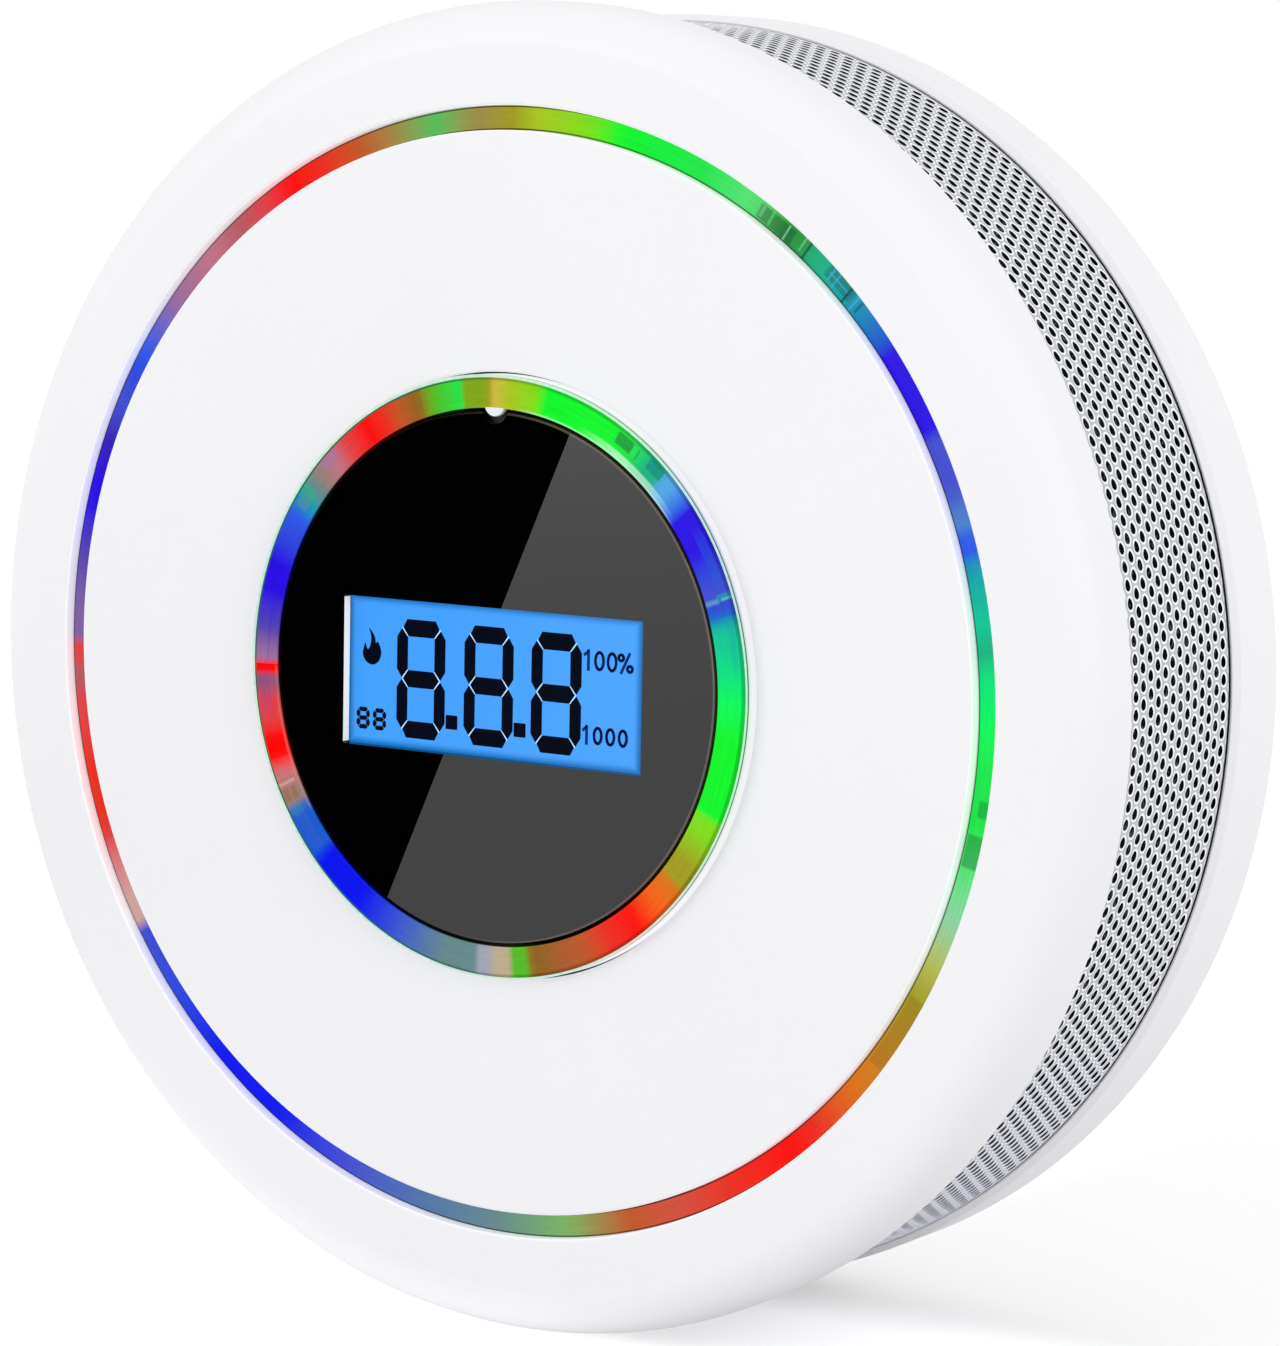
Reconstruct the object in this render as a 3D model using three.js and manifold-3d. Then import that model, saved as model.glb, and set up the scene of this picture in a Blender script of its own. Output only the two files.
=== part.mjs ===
// Round battery alarm for smoke and carbon monoxide, hung on a twist-lock wall bracket.
//
// Frame: millimetres, X to the right, Z up, the face looks along -Y. The wall is the plane Y = 0.
// Most pieces are turned or cut square to the wall, so places in depth are given as a distance
// from the wall, towards the viewer, and a point in the face plane is an (x, z) pair.

import * as THREE from "three";
import { mergeVertices } from "three/addons/utils/BufferGeometryUtils.js";
import Module from "manifold-3d";

const wasm = await Module();
wasm.setup();

// Clearances shared by pieces that fit each other
const seatGap = 0.3;
const lensGap = 0.15;
const cutOverrun = 1;

// Facets of a full turn: large visible rings, middle sizes, small pins
const wideFacets = 60;
const middleFacets = 32;
const smallFacets = 16;
const pinFacets = 10;
const cornerFacets = 2;
const roundFacets = 4;

// Whole alarm
const alarmRadius = 52.5;
const alarmDepth = 33.6;

// Wall bracket
const bracketThickness = 2.1;
const bracketInset = 3.9;
const bracketRingWidth = 6.6;
const bracketBridgeDrop = 4.5;
const bracketScallopRadius = 3.4;
const wallSlotWidth = 3.9;
const wallSlotLength = 9.4;
const wallSlotSpread = 26;
const wallSlotHeight = 8;
const wallSlotTop = 30;
const hookThickness = 1.8;
const hookInset = 1;
const hookHeadDepth = 1.5;
const hookStemTurn = 5;
const hookHeadTurn = 12;
const hookSlack = 0.5;
const hookTurns = [90, 210, 330];

// Front bezel
const bezelSide = 6.05;
const bezelWall = 3;
const bezelFaceWall = 2;
const bezelFillet = 3.6;
const bezelFaceWidth = 8.1;
const grooveWidth = 1.9;
const grooveEdge = 1;
const skirtDrop = 3.3;
const skirtWall = 1.8;

// Face disc
const discFaceWall = 2;
const discCentreEdge = 0.2;

// Outer light ring
const outerRingRecess = 1;
const flangeThickness = 1.2;
const flangeReach = 1.8;

// Inner light ring
const innerRingOuterRadius = 23.7;
const innerRingInnerRadius = 21.1;
const innerRingProud = 1.1;
const innerRingBevel = 0.2;
const innerFlangeReach = 3.3;
const keyRadius = 0.95;
const keyThickness = 0.6;
const keyDrop = 0.05;

// Display button
const panelGap = 0.3;
const panelDrop = 0.1;
const panelThickness = 0.84;
const windowWidth = 28.6;
const windowHeight = 11.9;
const windowCorner = 0.6;
const windowShiftX = -0.1;
const windowShiftZ = -0.4;
const glassWidth = 31.5;
const glassHeight = 15.6;
const glassThickness = 1.1;
const backlightThickness = 2.5;
const carrierGap = 0.4;
const carrierFloor = 2.3;
const carrierLip = 2;
const carrierLipThickness = 1.2;
const buttonTravel = 0.8;
const ribbonWidth = 12;
const ribbonThickness = 0.4;
const ribbonDip = 0.5;
const socketWall = 1.2;
const socketHeight = 2;
const switchSide = 6;
const switchHeight = 2;
const switchSpread = 14;
const plungerRadius = 1.7;
const plungerInside = 0.5;

// Side grille and the cage that holds it
const grilleLength = 18;
const grilleInset = 1;
const grilleThickness = 0.5;
const grilleColumns = 24;
const grilleRows = 3;
const grilleBar = 1.4;
const cageThickness = 1.5;
const cageBand = 2;
const cagePostWidth = 2.4;
const cagePosts = 12;

// Rear case
const caseInset = 0.4;
const caseFillet = 2.3;
const caseWall = 2.6;
const caseBackWall = 2;

// Case screws and their bosses
const bossInset = 5.3;
const bossRadius = 2.6;
const bossTurns = [30, 150, 270];
const bossSplit = 15.6;
const caseScrewRadius = 1.15;
const caseScrewLength = 13.3;
const caseScrewHeadRadius = 2.15;
const caseScrewHeadDepth = 1.7;
const caseScrewSeat = 4;

// Battery, its bay and its door
const cellRadius = 8.5;
const cellLength = 34.5;
const cellNubRadius = 3;
const cellNubLength = 1.2;
const cellEdge = 0.6;
const doorDrop = 6.55;
const bayWall = 2;
const bayFloor = 1.5;
const baySlack = 0.4;
const springLength = 5;
const springWide = 5.4;
const springNarrow = 3.2;
const springWire = 0.7;
const springTurns = 4;
const stepsPerTurn = 8;
const plateThickness = 0.5;
const plateWidth = 12;
const doorThickness = 1.6;
const doorOverlap = 1.2;
const barrelRadius = 1.5;
const hingeDrop = 0.7;
const hingePinRadius = 0.9;
const hingePinLength = 1.5;
const hingeEar = 2.2;
const latchWidth = 8;
const latchThickness = 0.6;
const latchDepth = 3;
const latchGap = 0.5;
const scoopWidth = 10;
const scoopHeight = 3.4;
const scoopDepth = 0.6;

// Main board and what it carries
const boardRoom = 1.6;
const boardThickness = 1.6;
const boardDepthBehindFace = 9.5;
const boardScrewInset = 7.5;
const boardScrewTurns = [125, 215, 330];
const boardScrewRadius = 1;
const boardScrewHeadRadius = 2;
const boardScrewHeadDepth = 1.4;
const boardScrewBite = 5;
const boardBossRadius = 2.6;
const lampsPerRing = 8;
const lampTurn = 77.5;
const lampLength = 3.5;
const lampWidth = 2.8;
const lampHeight = 0.8;
const lampOffset = 1.7;
const chipSide = 7;
const chipHeight = 1.2;
const chipHeightOnBoard = 7;
const capacitorRadius = 3;
const capacitorHeight = 9;
const capacitorHeightOnBoard = 4;

// Gas sensor
const sensorRadius = 6.6;
const sensorHeight = 11;
const sensorRim = 0.5;
const sensorRimHeight = 1.6;
const filterHeight = 1.3;
const filterHoleRadius = 1.5;
const sensorInset = 2.9;
const sensorShift = -1;

// Smoke chamber
const chamberFoot = -6.5;
const chamberInset = 1.5;
const chamberRim = 1.1;
const chamberBaseThickness = 1.8;
const chamberCapRadius = 17.4;
const chamberCapWall = 2;
const chamberCapRoof = 1.4;
const chamberHeight = 12.4;
const chamberSlots = 14;
const chamberSlotWidth = 2.6;
const eyeRadius = 1.6;
const eyeLength = 5;
const eyeCircle = 9;
const eyeTurns = [200, 335];
const cradleWidth = 4.6;
const cradleWall = 0.9;

// Sounder
const sounderFoot = -5.4;
const sounderInset = 5.6;
const sounderRadius = 15.4;
const sounderWall = 1.4;
const sounderHeight = 9.8;
const sounderRoof = 1.5;
const sounderLedge = 1.6;
const sounderLedgeHeight = 3.5;
const sounderHoleRadius = 3;
const sounderDiscThickness = 0.5;

// Radii that follow from the alarm's radius, from the outside inwards
const caseRadius = alarmRadius - caseInset;
const grilleRadius = alarmRadius - grilleInset;
const bracketOuterRadius = alarmRadius - bracketInset;
const bracketOpeningRadius = bracketOuterRadius - bracketRingWidth;
const bossCircle = alarmRadius - bossInset;
const grooveOuterRadius = alarmRadius - bezelFaceWidth;
const grooveInnerRadius = grooveOuterRadius - grooveWidth;
const boardRadius = bossCircle - bossRadius - boardRoom;
const boardScrewCircle = boardRadius - boardScrewInset;
const outerLampCircle = grooveInnerRadius - lampOffset;
const innerLampCircle = innerRingOuterRadius + lampOffset;

// Places on the board, as [x, z], each beside its neighbour
const chamberRadius = chamberCapRadius + chamberRim;
const chamberPlace = [chamberRadius + chamberInset, chamberRadius + chamberFoot];
const sounderPlace = [-sounderRadius - sounderInset, sounderRadius + sounderFoot];
const sensorPlace = [sensorShift, boardRadius - sensorRadius - sensorRim - sensorInset];
const capacitorPlace = [chamberPlace[0] - chamberRadius - capacitorRadius, capacitorHeightOnBoard];
const chipPlace = [0, chipHeightOnBoard];

// Places in depth that follow from the sizes above
const caseBack = bracketThickness + seatGap;
const ringTop = caseBack + alarmDepth;
const face = ringTop - innerRingProud;
const bezelRear = face - bezelSide;
const caseFront = bezelRear - grilleLength;
const caseInside = caseBack + caseBackWall;
const skirtEnd = face - skirtDrop;
const flangeFront = skirtEnd - seatGap;
const flangeRear = flangeFront - flangeThickness;
const boardFront = face - boardDepthBehindFace;
const boardRear = boardFront - boardThickness;

// Colours and finishes
const whitePlastic = { color: 0xf1f1f4, roughness: 0.38, metalness: 0 };
const clearPlastic = { color: 0xcfe3e6, roughness: 0.08, metalness: 0, transparent: true, opacity: 0.6 };
const blackGloss = { color: 0x050506, roughness: 0.06, metalness: 0 };
const blueDisplay = { color: 0x3f9bf5, roughness: 0.2, metalness: 0 };
const greyMesh = { color: 0xbfc3c8, roughness: 0.42, metalness: 0.7 };
const blackPlastic = { color: 0x17181a, roughness: 0.6, metalness: 0 };
const boardGreen = { color: 0x1d5a3a, roughness: 0.5, metalness: 0 };
const steel = { color: 0xb9bcc0, roughness: 0.32, metalness: 1 };
const brass = { color: 0xc9a55a, roughness: 0.3, metalness: 1 };
const amberFilm = { color: 0xa8662a, roughness: 0.45, metalness: 0 };
const cellWrap = { color: 0x2f6f86, roughness: 0.3, metalness: 0 };

// Helpers: vectors and profiles

/** A point in the face plane at a radius and a turn in degrees, anticlockwise from +X. */
function around(radius, turn) {
  const angle = THREE.MathUtils.degToRad(turn);
  return [radius * Math.cos(angle), radius * Math.sin(angle)];
}

/** Points of an arc from one turn to another, in degrees, both ends included. */
function arc(centreX, centreY, radius, from, to, steps) {
  const points = [];
  for (let step = 0; step <= steps; step += 1) {
    const [x, y] = around(radius, from + ((to - from) * step) / steps);
    points.push([centreX + x, centreY + y]);
  }
  return points;
}

/** The same geometry with shared vertices and every face looking outwards. */
function facingOut(geometry) {
  geometry.deleteAttribute("normal");
  geometry.deleteAttribute("uv");
  const merged = mergeVertices(geometry, 1e-4);
  const place = merged.getAttribute("position");
  const corners = Array.from(merged.getIndex().array);
  const kept = [];
  let volume = 0;
  for (let i = 0; i < corners.length; i += 3) {
    const [a, b, c] = corners.slice(i, i + 3);
    if (a !== b && b !== c && c !== a) {
      const [p, q, r] = [a, b, c].map((n) => new THREE.Vector3().fromBufferAttribute(place, n));
      volume += p.dot(q.cross(r));
      kept.push(a, b, c);
    }
  }
  if (volume < 0) {
    for (let i = 0; i < kept.length; i += 3) {
      [kept[i], kept[i + 1]] = [kept[i + 1], kept[i]];
    }
  }
  merged.setIndex(kept);
  return merged;
}

// Helpers: simple solids

/** A profile of [radius, depth] points turned about the depth axis through a place. */
function turned(profile, facets, place = [0, 0]) {
  const points = profile.map(([radius, depth]) => new THREE.Vector2(radius, depth));
  const geometry = new THREE.LatheGeometry(points, facets);
  geometry.rotateX(Math.PI);
  geometry.translate(place[0], 0, place[1]);
  return facingOut(geometry);
}

/** A closed profile: the first point is repeated at its end. */
function loop(points) {
  return [...points, points[0]];
}

/** A tube or washer between two radii and two depths. */
function washer(inner, outer, low, high, facets, place) {
  return turned(loop([[inner, low], [outer, low], [outer, high], [inner, high]]), facets, place);
}

/** A round bar along the depth axis. */
function bar(radius, low, high, facets, place) {
  return turned([[0, low], [radius, low], [radius, high], [0, high]], facets, place);
}

/** An outline of [x, z] points given a thickness from one depth to another. */
function slab(outline, low, high) {
  const shape = new THREE.Shape(outline.map(([x, z]) => new THREE.Vector2(x, z)));
  const geometry = new THREE.ExtrudeGeometry(shape, { depth: high - low, bevelEnabled: false });
  geometry.translate(0, 0, low);
  geometry.rotateX(Math.PI / 2);
  return facingOut(geometry);
}

/** A square-cornered block, given by its middle in the face plane, its size and its depths. */
function block(width, height, low, high, place = [0, 0]) {
  const geometry = new THREE.BoxGeometry(width, high - low, height);
  geometry.translate(place[0], -(low + high) / 2, place[1]);
  return facingOut(geometry);
}

/** The outline of a rectangle with round corners. */
function roundedOutline(width, height, radius, place = [0, 0]) {
  const x = width / 2 - radius;
  const z = height / 2 - radius;
  const corners = [[x, z, 0], [-x, z, 90], [-x, -z, 180], [x, -z, 270]];
  return corners.flatMap(([cx, cz, turn]) =>
    arc(place[0] + cx, place[1] + cz, radius, turn, turn + 90, cornerFacets));
}

/** The outline of a slot with round ends, along X or upright. */
function slotOutline(width, length, place, upright) {
  const reach = (length - width) / 2;
  const ends = upright ? [[0, reach, 0], [0, -reach, 180]] : [[reach, 0, -90], [-reach, 0, 90]];
  return ends.flatMap(([x, z, turn]) =>
    arc(place[0] + x, place[1] + z, width / 2, turn, turn + 180, roundFacets));
}

/** The outline of a piece of a ring between two radii and two turns. */
function sectorOutline(inner, outer, from, to, steps = cornerFacets) {
  return [...arc(0, 0, outer, from, to, steps), ...arc(0, 0, inner, to, from, steps)];
}

// Helpers: joining and cutting

/** The exact solid inside a closed geometry. */
function solid(geometry) {
  const index = geometry.getIndex();
  return new wasm.Manifold(new wasm.Mesh({
    numProp: 3,
    vertProperties: new Float32Array(geometry.getAttribute("position").array),
    triVerts: new Uint32Array(index.array),
  }));
}

/** A geometry with other solids joined to it and then others cut out of it. */
function worked(base, joined, cut) {
  let body = solid(base);
  for (const geometry of joined) {
    body = body.add(solid(geometry));
  }
  for (const geometry of cut) {
    body = body.subtract(solid(geometry));
  }
  const mesh = body.getMesh();
  const geometry = new THREE.BufferGeometry();
  geometry.setAttribute("position", new THREE.BufferAttribute(mesh.vertProperties, mesh.numProp));
  geometry.setIndex(new THREE.BufferAttribute(mesh.triVerts, 1));
  return geometry;
}

const alarm = new THREE.Group();

/** Add one named piece to the alarm. */
function piece(name, geometry, finish) {
  const mesh = new THREE.Mesh(geometry, new THREE.MeshStandardMaterial(finish));
  mesh.name = name;
  alarm.add(mesh);
}

// Wall bracket: ring, upper plate with screw slots, open below for the battery door, three hooks

const hookInner = bracketOpeningRadius + hookInset;
const hookOuter = hookInner + hookThickness;
const hookHeadRear = caseInside + seatGap;

function mountingBracket() {
  const ring = washer(bracketOpeningRadius, bracketOuterRadius, 0, bracketThickness, wideFacets);
  const plateReach = bracketOpeningRadius + (bracketOuterRadius - bracketOpeningRadius) / 2;
  const plateEdgeTurn = THREE.MathUtils.radToDeg(Math.asin(bracketBridgeDrop / plateReach));
  const plate = slab(
    arc(0, 0, plateReach, -plateEdgeTurn, 180 + plateEdgeTurn, middleFacets), 0, bracketThickness);
  const hooks = hookTurns.flatMap((turn) => {
    const half = hookStemTurn / 2;
    return [
      slab(sectorOutline(hookInner, hookOuter, turn - half, turn + half), 0, hookHeadRear + hookHeadDepth),
      slab(
        sectorOutline(hookInner, hookOuter, turn, turn + half + hookHeadTurn),
        hookHeadRear, hookHeadRear + hookHeadDepth),
    ];
  });
  const slots = [-1, 1].map((side) =>
    slotOutline(wallSlotWidth, wallSlotLength, [side * wallSlotSpread, wallSlotHeight], false));
  slots.push(slotOutline(wallSlotWidth, wallSlotLength, [0, wallSlotTop], true));
  const cuts = slots.map((outline) => slab(outline, -cutOverrun, bracketThickness + cutOverrun));
  for (const turn of bossTurns) {
    cuts.push(bar(
      bracketScallopRadius, -cutOverrun, bracketThickness + cutOverrun, smallFacets,
      around(bossCircle, turn)));
  }
  return worked(ring, [plate, ...hooks], cuts);
}

// Front bezel: a shallow ring with a soft outer edge, a skirt at the light groove and screw bosses

const bossSplitDepth = caseBack + bossSplit;

function bossHole(low, high) {
  return bossTurns.map((turn) =>
    bar(caseScrewRadius + seatGap, low, high, pinFacets, around(bossCircle, turn)));
}

function frontBezel() {
  const outerEdge = alarmRadius - bezelFillet;
  const innerWall = alarmRadius - bezelWall;
  const ceiling = face - bezelFaceWall;
  const innerFillet = bezelFillet - bezelFaceWall;
  const shell = turned(loop([
    [alarmRadius, bezelRear],
    ...arc(outerEdge, face - bezelFillet, bezelFillet, 0, 90, roundFacets),
    ...arc(grooveOuterRadius + grooveEdge, face - grooveEdge, grooveEdge, 90, 180, cornerFacets),
    [grooveOuterRadius, skirtEnd],
    [grooveOuterRadius + skirtWall, skirtEnd],
    [grooveOuterRadius + skirtWall, ceiling],
    ...arc(innerWall - innerFillet, ceiling - innerFillet, innerFillet, 90, 0, cornerFacets),
    [innerWall, bezelRear],
  ]), wideFacets);
  const ceilingBite = bezelFaceWall / 2;
  const bosses = bossTurns.map((turn) => bar(
    bossRadius, bossSplitDepth + seatGap, ceiling + ceilingBite, smallFacets, around(bossCircle, turn)));
  const holeEnd = screwTip + seatGap;
  return worked(shell, bosses, bossHole(bossSplitDepth, holeEnd));
}

// Face disc: the white plate between the light rings, with skirts and bosses for the board

const discHole = innerRingOuterRadius + lensGap;

function faceDisc() {
  const ceiling = face - discFaceWall;
  const innerSkirt = discHole + skirtWall;
  const outerSkirt = grooveInnerRadius - skirtWall;
  const plate = turned(loop([
    ...arc(discHole + discCentreEdge, face - discCentreEdge, discCentreEdge, 180, 90, cornerFacets),
    ...arc(grooveInnerRadius - grooveEdge, face - grooveEdge, grooveEdge, 90, 0, cornerFacets),
    [grooveInnerRadius, skirtEnd],
    [outerSkirt, skirtEnd],
    [outerSkirt, ceiling],
    [innerSkirt, ceiling],
    [innerSkirt, skirtEnd],
    [discHole, skirtEnd],
  ]), wideFacets);
  const bosses = boardScrewTurns.map((turn) => bar(
    boardBossRadius, boardFront + seatGap, ceiling + discFaceWall / 2, smallFacets,
    around(boardScrewCircle, turn)));
  const holes = boardScrewTurns.map((turn) => bar(
    boardScrewRadius + seatGap, boardFront, boardFront + boardScrewBite + seatGap, pinFacets,
    around(boardScrewCircle, turn)));
  return worked(plate, bosses, holes);
}

// Outer light ring: a clear tee-shaped ring, its stem in the groove, its flange behind the skirts

function outerLightRing() {
  const inner = grooveInnerRadius + lensGap;
  const outer = grooveOuterRadius - lensGap;
  const ring = turned(loop([
    [inner - flangeReach, flangeRear],
    [outer + flangeReach, flangeRear],
    [outer + flangeReach, flangeFront],
    [outer, flangeFront],
    [outer, face - outerRingRecess],
    [inner, face - outerRingRecess],
    [inner, flangeFront],
    [inner - flangeReach, flangeFront],
  ]), wideFacets);
  const notches = bossTurns.map((turn) => bar(
    bossRadius + seatGap, flangeRear - cutOverrun, flangeFront + cutOverrun, smallFacets,
    around(bossCircle, turn)));
  return worked(ring, [], notches);
}

// Inner light ring: a clear bevelled tube with a rear flange and a half-round key at its top

function innerLightRing() {
  const ring = turned(loop([
    [innerRingInnerRadius, flangeRear],
    [innerRingOuterRadius + innerFlangeReach, flangeRear],
    [innerRingOuterRadius + innerFlangeReach, flangeFront],
    [innerRingOuterRadius, flangeFront],
    [innerRingOuterRadius, ringTop - innerRingBevel],
    [innerRingOuterRadius - innerRingBevel, ringTop],
    [innerRingInnerRadius, ringTop],
  ]), wideFacets);
  const keyTop = ringTop - keyDrop;
  const key = bar(keyRadius, keyTop - keyThickness, keyTop, pinFacets, [0, innerRingInnerRadius]);
  return worked(ring, [key], []);
}

// Display button: black panel over the display, its backlight, a carrier, ribbon and two switches

const panelTop = ringTop - panelDrop;
const panelRear = panelTop - panelThickness;
const panelRadius = innerRingInnerRadius - panelGap;
const glassPlace = [windowShiftX, windowShiftZ];
const glassRear = panelRear - glassThickness;
const backlightRear = glassRear - backlightThickness;
const pocketFloor = backlightRear - seatGap;
const carrierRear = pocketFloor - carrierFloor;
const ribbonTopZ = windowShiftZ - glassHeight / 2 - seatGap;
const ribbonZ = ribbonTopZ - ribbonThickness / 2;
const ribbonEnd = boardFront + socketHeight - ribbonDip;

function displayPanel() {
  const disc = bar(panelRadius, panelRear, panelTop, wideFacets);
  const low = panelRear - cutOverrun;
  const high = panelTop + cutOverrun;
  const opening = slab(roundedOutline(windowWidth, windowHeight, windowCorner, glassPlace), low, high);
  const keyway = bar(keyRadius + seatGap, low, high, pinFacets, [0, innerRingInnerRadius]);
  return worked(disc, [], [opening, keyway]);
}

function displayGlass() {
  return block(glassWidth, glassHeight, glassRear, panelRear, glassPlace);
}

function displayBacklight() {
  return block(glassWidth, glassHeight, backlightRear, glassRear, glassPlace);
}

function buttonCarrier() {
  const radius = innerRingInnerRadius - carrierGap;
  const lipFront = flangeRear - seatGap;
  const lipRear = lipFront - carrierLipThickness;
  const cup = turned([
    [0, carrierRear],
    [radius, carrierRear],
    [radius, lipRear],
    [radius + carrierLip, lipRear],
    [radius + carrierLip, lipFront],
    [radius, lipFront],
    [radius, panelRear],
    [0, panelRear],
  ], wideFacets);
  const pocketTop = windowShiftZ + glassHeight / 2 + seatGap;
  const pocketBottom = ribbonTopZ - ribbonThickness - seatGap;
  const pocket = block(
    glassWidth + 2 * seatGap, pocketTop - pocketBottom, pocketFloor, panelRear + cutOverrun,
    [windowShiftX, (pocketTop + pocketBottom) / 2]);
  const slot = block(
    ribbonWidth + 2 * seatGap, ribbonThickness + 2 * seatGap, carrierRear - cutOverrun,
    pocketFloor + cutOverrun, [windowShiftX, ribbonZ]);
  return worked(cup, [], [pocket, slot]);
}

function displayRibbon() {
  return block(ribbonWidth, ribbonThickness, ribbonEnd, panelRear - seatGap, [windowShiftX, ribbonZ]);
}

function ribbonSocket() {
  const slotWidth = ribbonWidth + 2 * seatGap;
  const slotHeight = ribbonThickness + 2 * seatGap;
  const place = [windowShiftX, ribbonZ];
  const top = boardFront + socketHeight;
  const body = block(slotWidth + 2 * socketWall, slotHeight + 2 * socketWall, boardFront, top, place);
  const slotEnd = ribbonEnd - buttonTravel - seatGap;
  return worked(body, [], [block(slotWidth, slotHeight, slotEnd, top + cutOverrun, place)]);
}

function switchBody(side) {
  const place = [side * switchSpread, 0];
  const top = boardFront + switchHeight;
  const body = block(switchSide, switchSide, boardFront, top, place);
  const holeEnd = top - plungerInside - buttonTravel - seatGap;
  const hole = bar(plungerRadius + seatGap, holeEnd, top + cutOverrun, pinFacets, place);
  return worked(body, [], [hole]);
}

function switchPlunger(side) {
  const low = boardFront + switchHeight - plungerInside;
  return bar(plungerRadius, low, carrierRear - seatGap, pinFacets, [side * switchSpread, 0]);
}

// Side grille: a thin band with a plain grid of openings, and the cage that holds it from inside

const bandRear = caseFront + lensGap;
const bandFront = bezelRear - lensGap;
const cageOuter = grilleRadius - grilleThickness - seatGap;
const cageInner = cageOuter - cageThickness;

function sideGrille() {
  const band = washer(grilleRadius - grilleThickness, grilleRadius, bandRear, bandFront, wideFacets);
  const pitch = 360 / grilleColumns;
  const halfOpening = (pitch - THREE.MathUtils.radToDeg(grilleBar / grilleRadius)) / 2;
  const rowPitch = (bandFront - bandRear - grilleBar) / grilleRows;
  const cuts = [];
  for (let column = 0; column < grilleColumns; column += 1) {
    const middle = (column + 1 / 2) * pitch;
    const outline = sectorOutline(
      cageInner, grilleRadius + cutOverrun, middle - halfOpening, middle + halfOpening);
    for (let row = 0; row < grilleRows; row += 1) {
      const low = bandRear + grilleBar + row * rowPitch;
      cuts.push(slab(outline, low, low + rowPitch - grilleBar));
    }
  }
  return worked(band, [], cuts);
}

function grilleCage() {
  const tube = washer(cageInner, cageOuter, bandRear, bandFront, wideFacets);
  const pitch = 360 / cagePosts;
  const postTurn = THREE.MathUtils.radToDeg(cagePostWidth / cageOuter);
  const halfWindow = (pitch - postTurn) / 2;
  const cuts = [];
  for (let post = 0; post < cagePosts; post += 1) {
    const middle = post * pitch;
    cuts.push(slab(
      sectorOutline(cageInner - cutOverrun, cageOuter + cutOverrun, middle - halfWindow, middle + halfWindow),
      bandRear + cageBand, bandFront - cageBand));
  }
  for (const turn of bossTurns) {
    cuts.push(bar(
      bossRadius + seatGap, bandRear - cutOverrun, bandFront + cutOverrun, smallFacets,
      around(bossCircle, turn)));
  }
  return worked(tube, [], cuts);
}

// Battery bay: places that the case, the door, the cell and its contacts share

const boardSideOfBay = boardRear - seatGap;
const bayCeiling = boardSideOfBay - bayFloor;
const cellDepth = bayCeiling - baySlack - cellRadius;
const bayHalfHeight = cellRadius + baySlack + seatGap / 2;
const doorTop = -bracketBridgeDrop - doorDrop;
const bayHeight = doorTop - doorOverlap - bayHalfHeight;
const bayLength = cellLength + springLength + 2 * plateThickness + 6 * seatGap;
const bayEnd = bayLength / 2;
const cellTip = bayEnd - plateThickness - 2 * seatGap;
const cellTail = cellTip - cellLength;
const springTail = cellTail - seatGap - springLength;
const doorWidth = bayLength + 2 * (bayWall - doorOverlap);
const hingeZ = bayHeight - bayHalfHeight - bayWall - hingeDrop;
const hingeDepth = caseBack + doorThickness;

// Rear case: a round tray with the battery bay, screw bosses, hook slots and hinge ears

function rearCase() {
  const innerWall = caseRadius - caseWall;
  const tray = turned([
    [0, caseBack],
    ...arc(caseRadius - caseFillet, caseBack + caseFillet, caseFillet, -90, 0, roundFacets),
    [caseRadius, caseFront],
    [innerWall, caseFront],
    [innerWall, caseInside],
    [0, caseInside],
  ], wideFacets);
  const backBite = caseInside - caseBackWall / 2;
  const bayPlace = [0, bayHeight];
  const bay = block(
    bayLength + 2 * bayWall, 2 * (bayHalfHeight + bayWall), backBite, boardSideOfBay, bayPlace);
  const ears = [-1, 1].map((side) => block(
    hingeEar, 2 * hingeEar, caseBack, hingeDepth + hingeEar,
    [side * (doorWidth / 2 + seatGap + hingeEar / 2), hingeZ]));
  const bosses = bossTurns.map((turn) => bar(
    bossRadius, backBite, bossSplitDepth, smallFacets, around(bossCircle, turn)));

  const out = caseBack - cutOverrun;
  const cavity = block(bayLength, 2 * bayHalfHeight, out, bayCeiling, bayPlace);
  const recessTop = doorTop + seatGap;
  const recessBottom = hingeZ - doorThickness - seatGap;
  const recessWidth = doorWidth + 2 * seatGap;
  const recess = block(
    recessWidth, recessTop - recessBottom, out, caseInside, [0, (recessTop + recessBottom) / 2]);
  const barrelTop = hingeZ + barrelRadius + seatGap;
  const barrelRoom = block(
    recessWidth, barrelTop - recessBottom, out, hingeDepth + barrelRadius + seatGap,
    [0, (barrelTop + recessBottom) / 2]);
  const pinHoles = [-1, 1].map((side) => sidewaysBar(
    hingePinRadius + seatGap, hingePinLength + 2 * seatGap,
    side * (doorWidth / 2 + hingePinLength / 2 + seatGap), hingeDepth, hingeZ));
  const slots = hookTurns.map((turn) => {
    const far = turn + hookStemTurn / 2 + hookSlack;
    const near = far - hookStemTurn - hookHeadTurn - 2 * hookSlack;
    return slab(
      sectorOutline(hookInner - seatGap, hookOuter + seatGap, near, far, roundFacets),
      out, caseInside + cutOverrun);
  });
  const wells = bossTurns.map((turn) => bar(
    caseScrewHeadRadius + seatGap, out, screwSeat, smallFacets, around(bossCircle, turn)));
  const holes = bossHole(out, bossSplitDepth + cutOverrun);
  return worked(
    tray, [bay, ...ears, ...bosses],
    [cavity, recess, barrelRoom, ...pinHoles, ...slots, ...wells, ...holes]);
}

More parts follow.
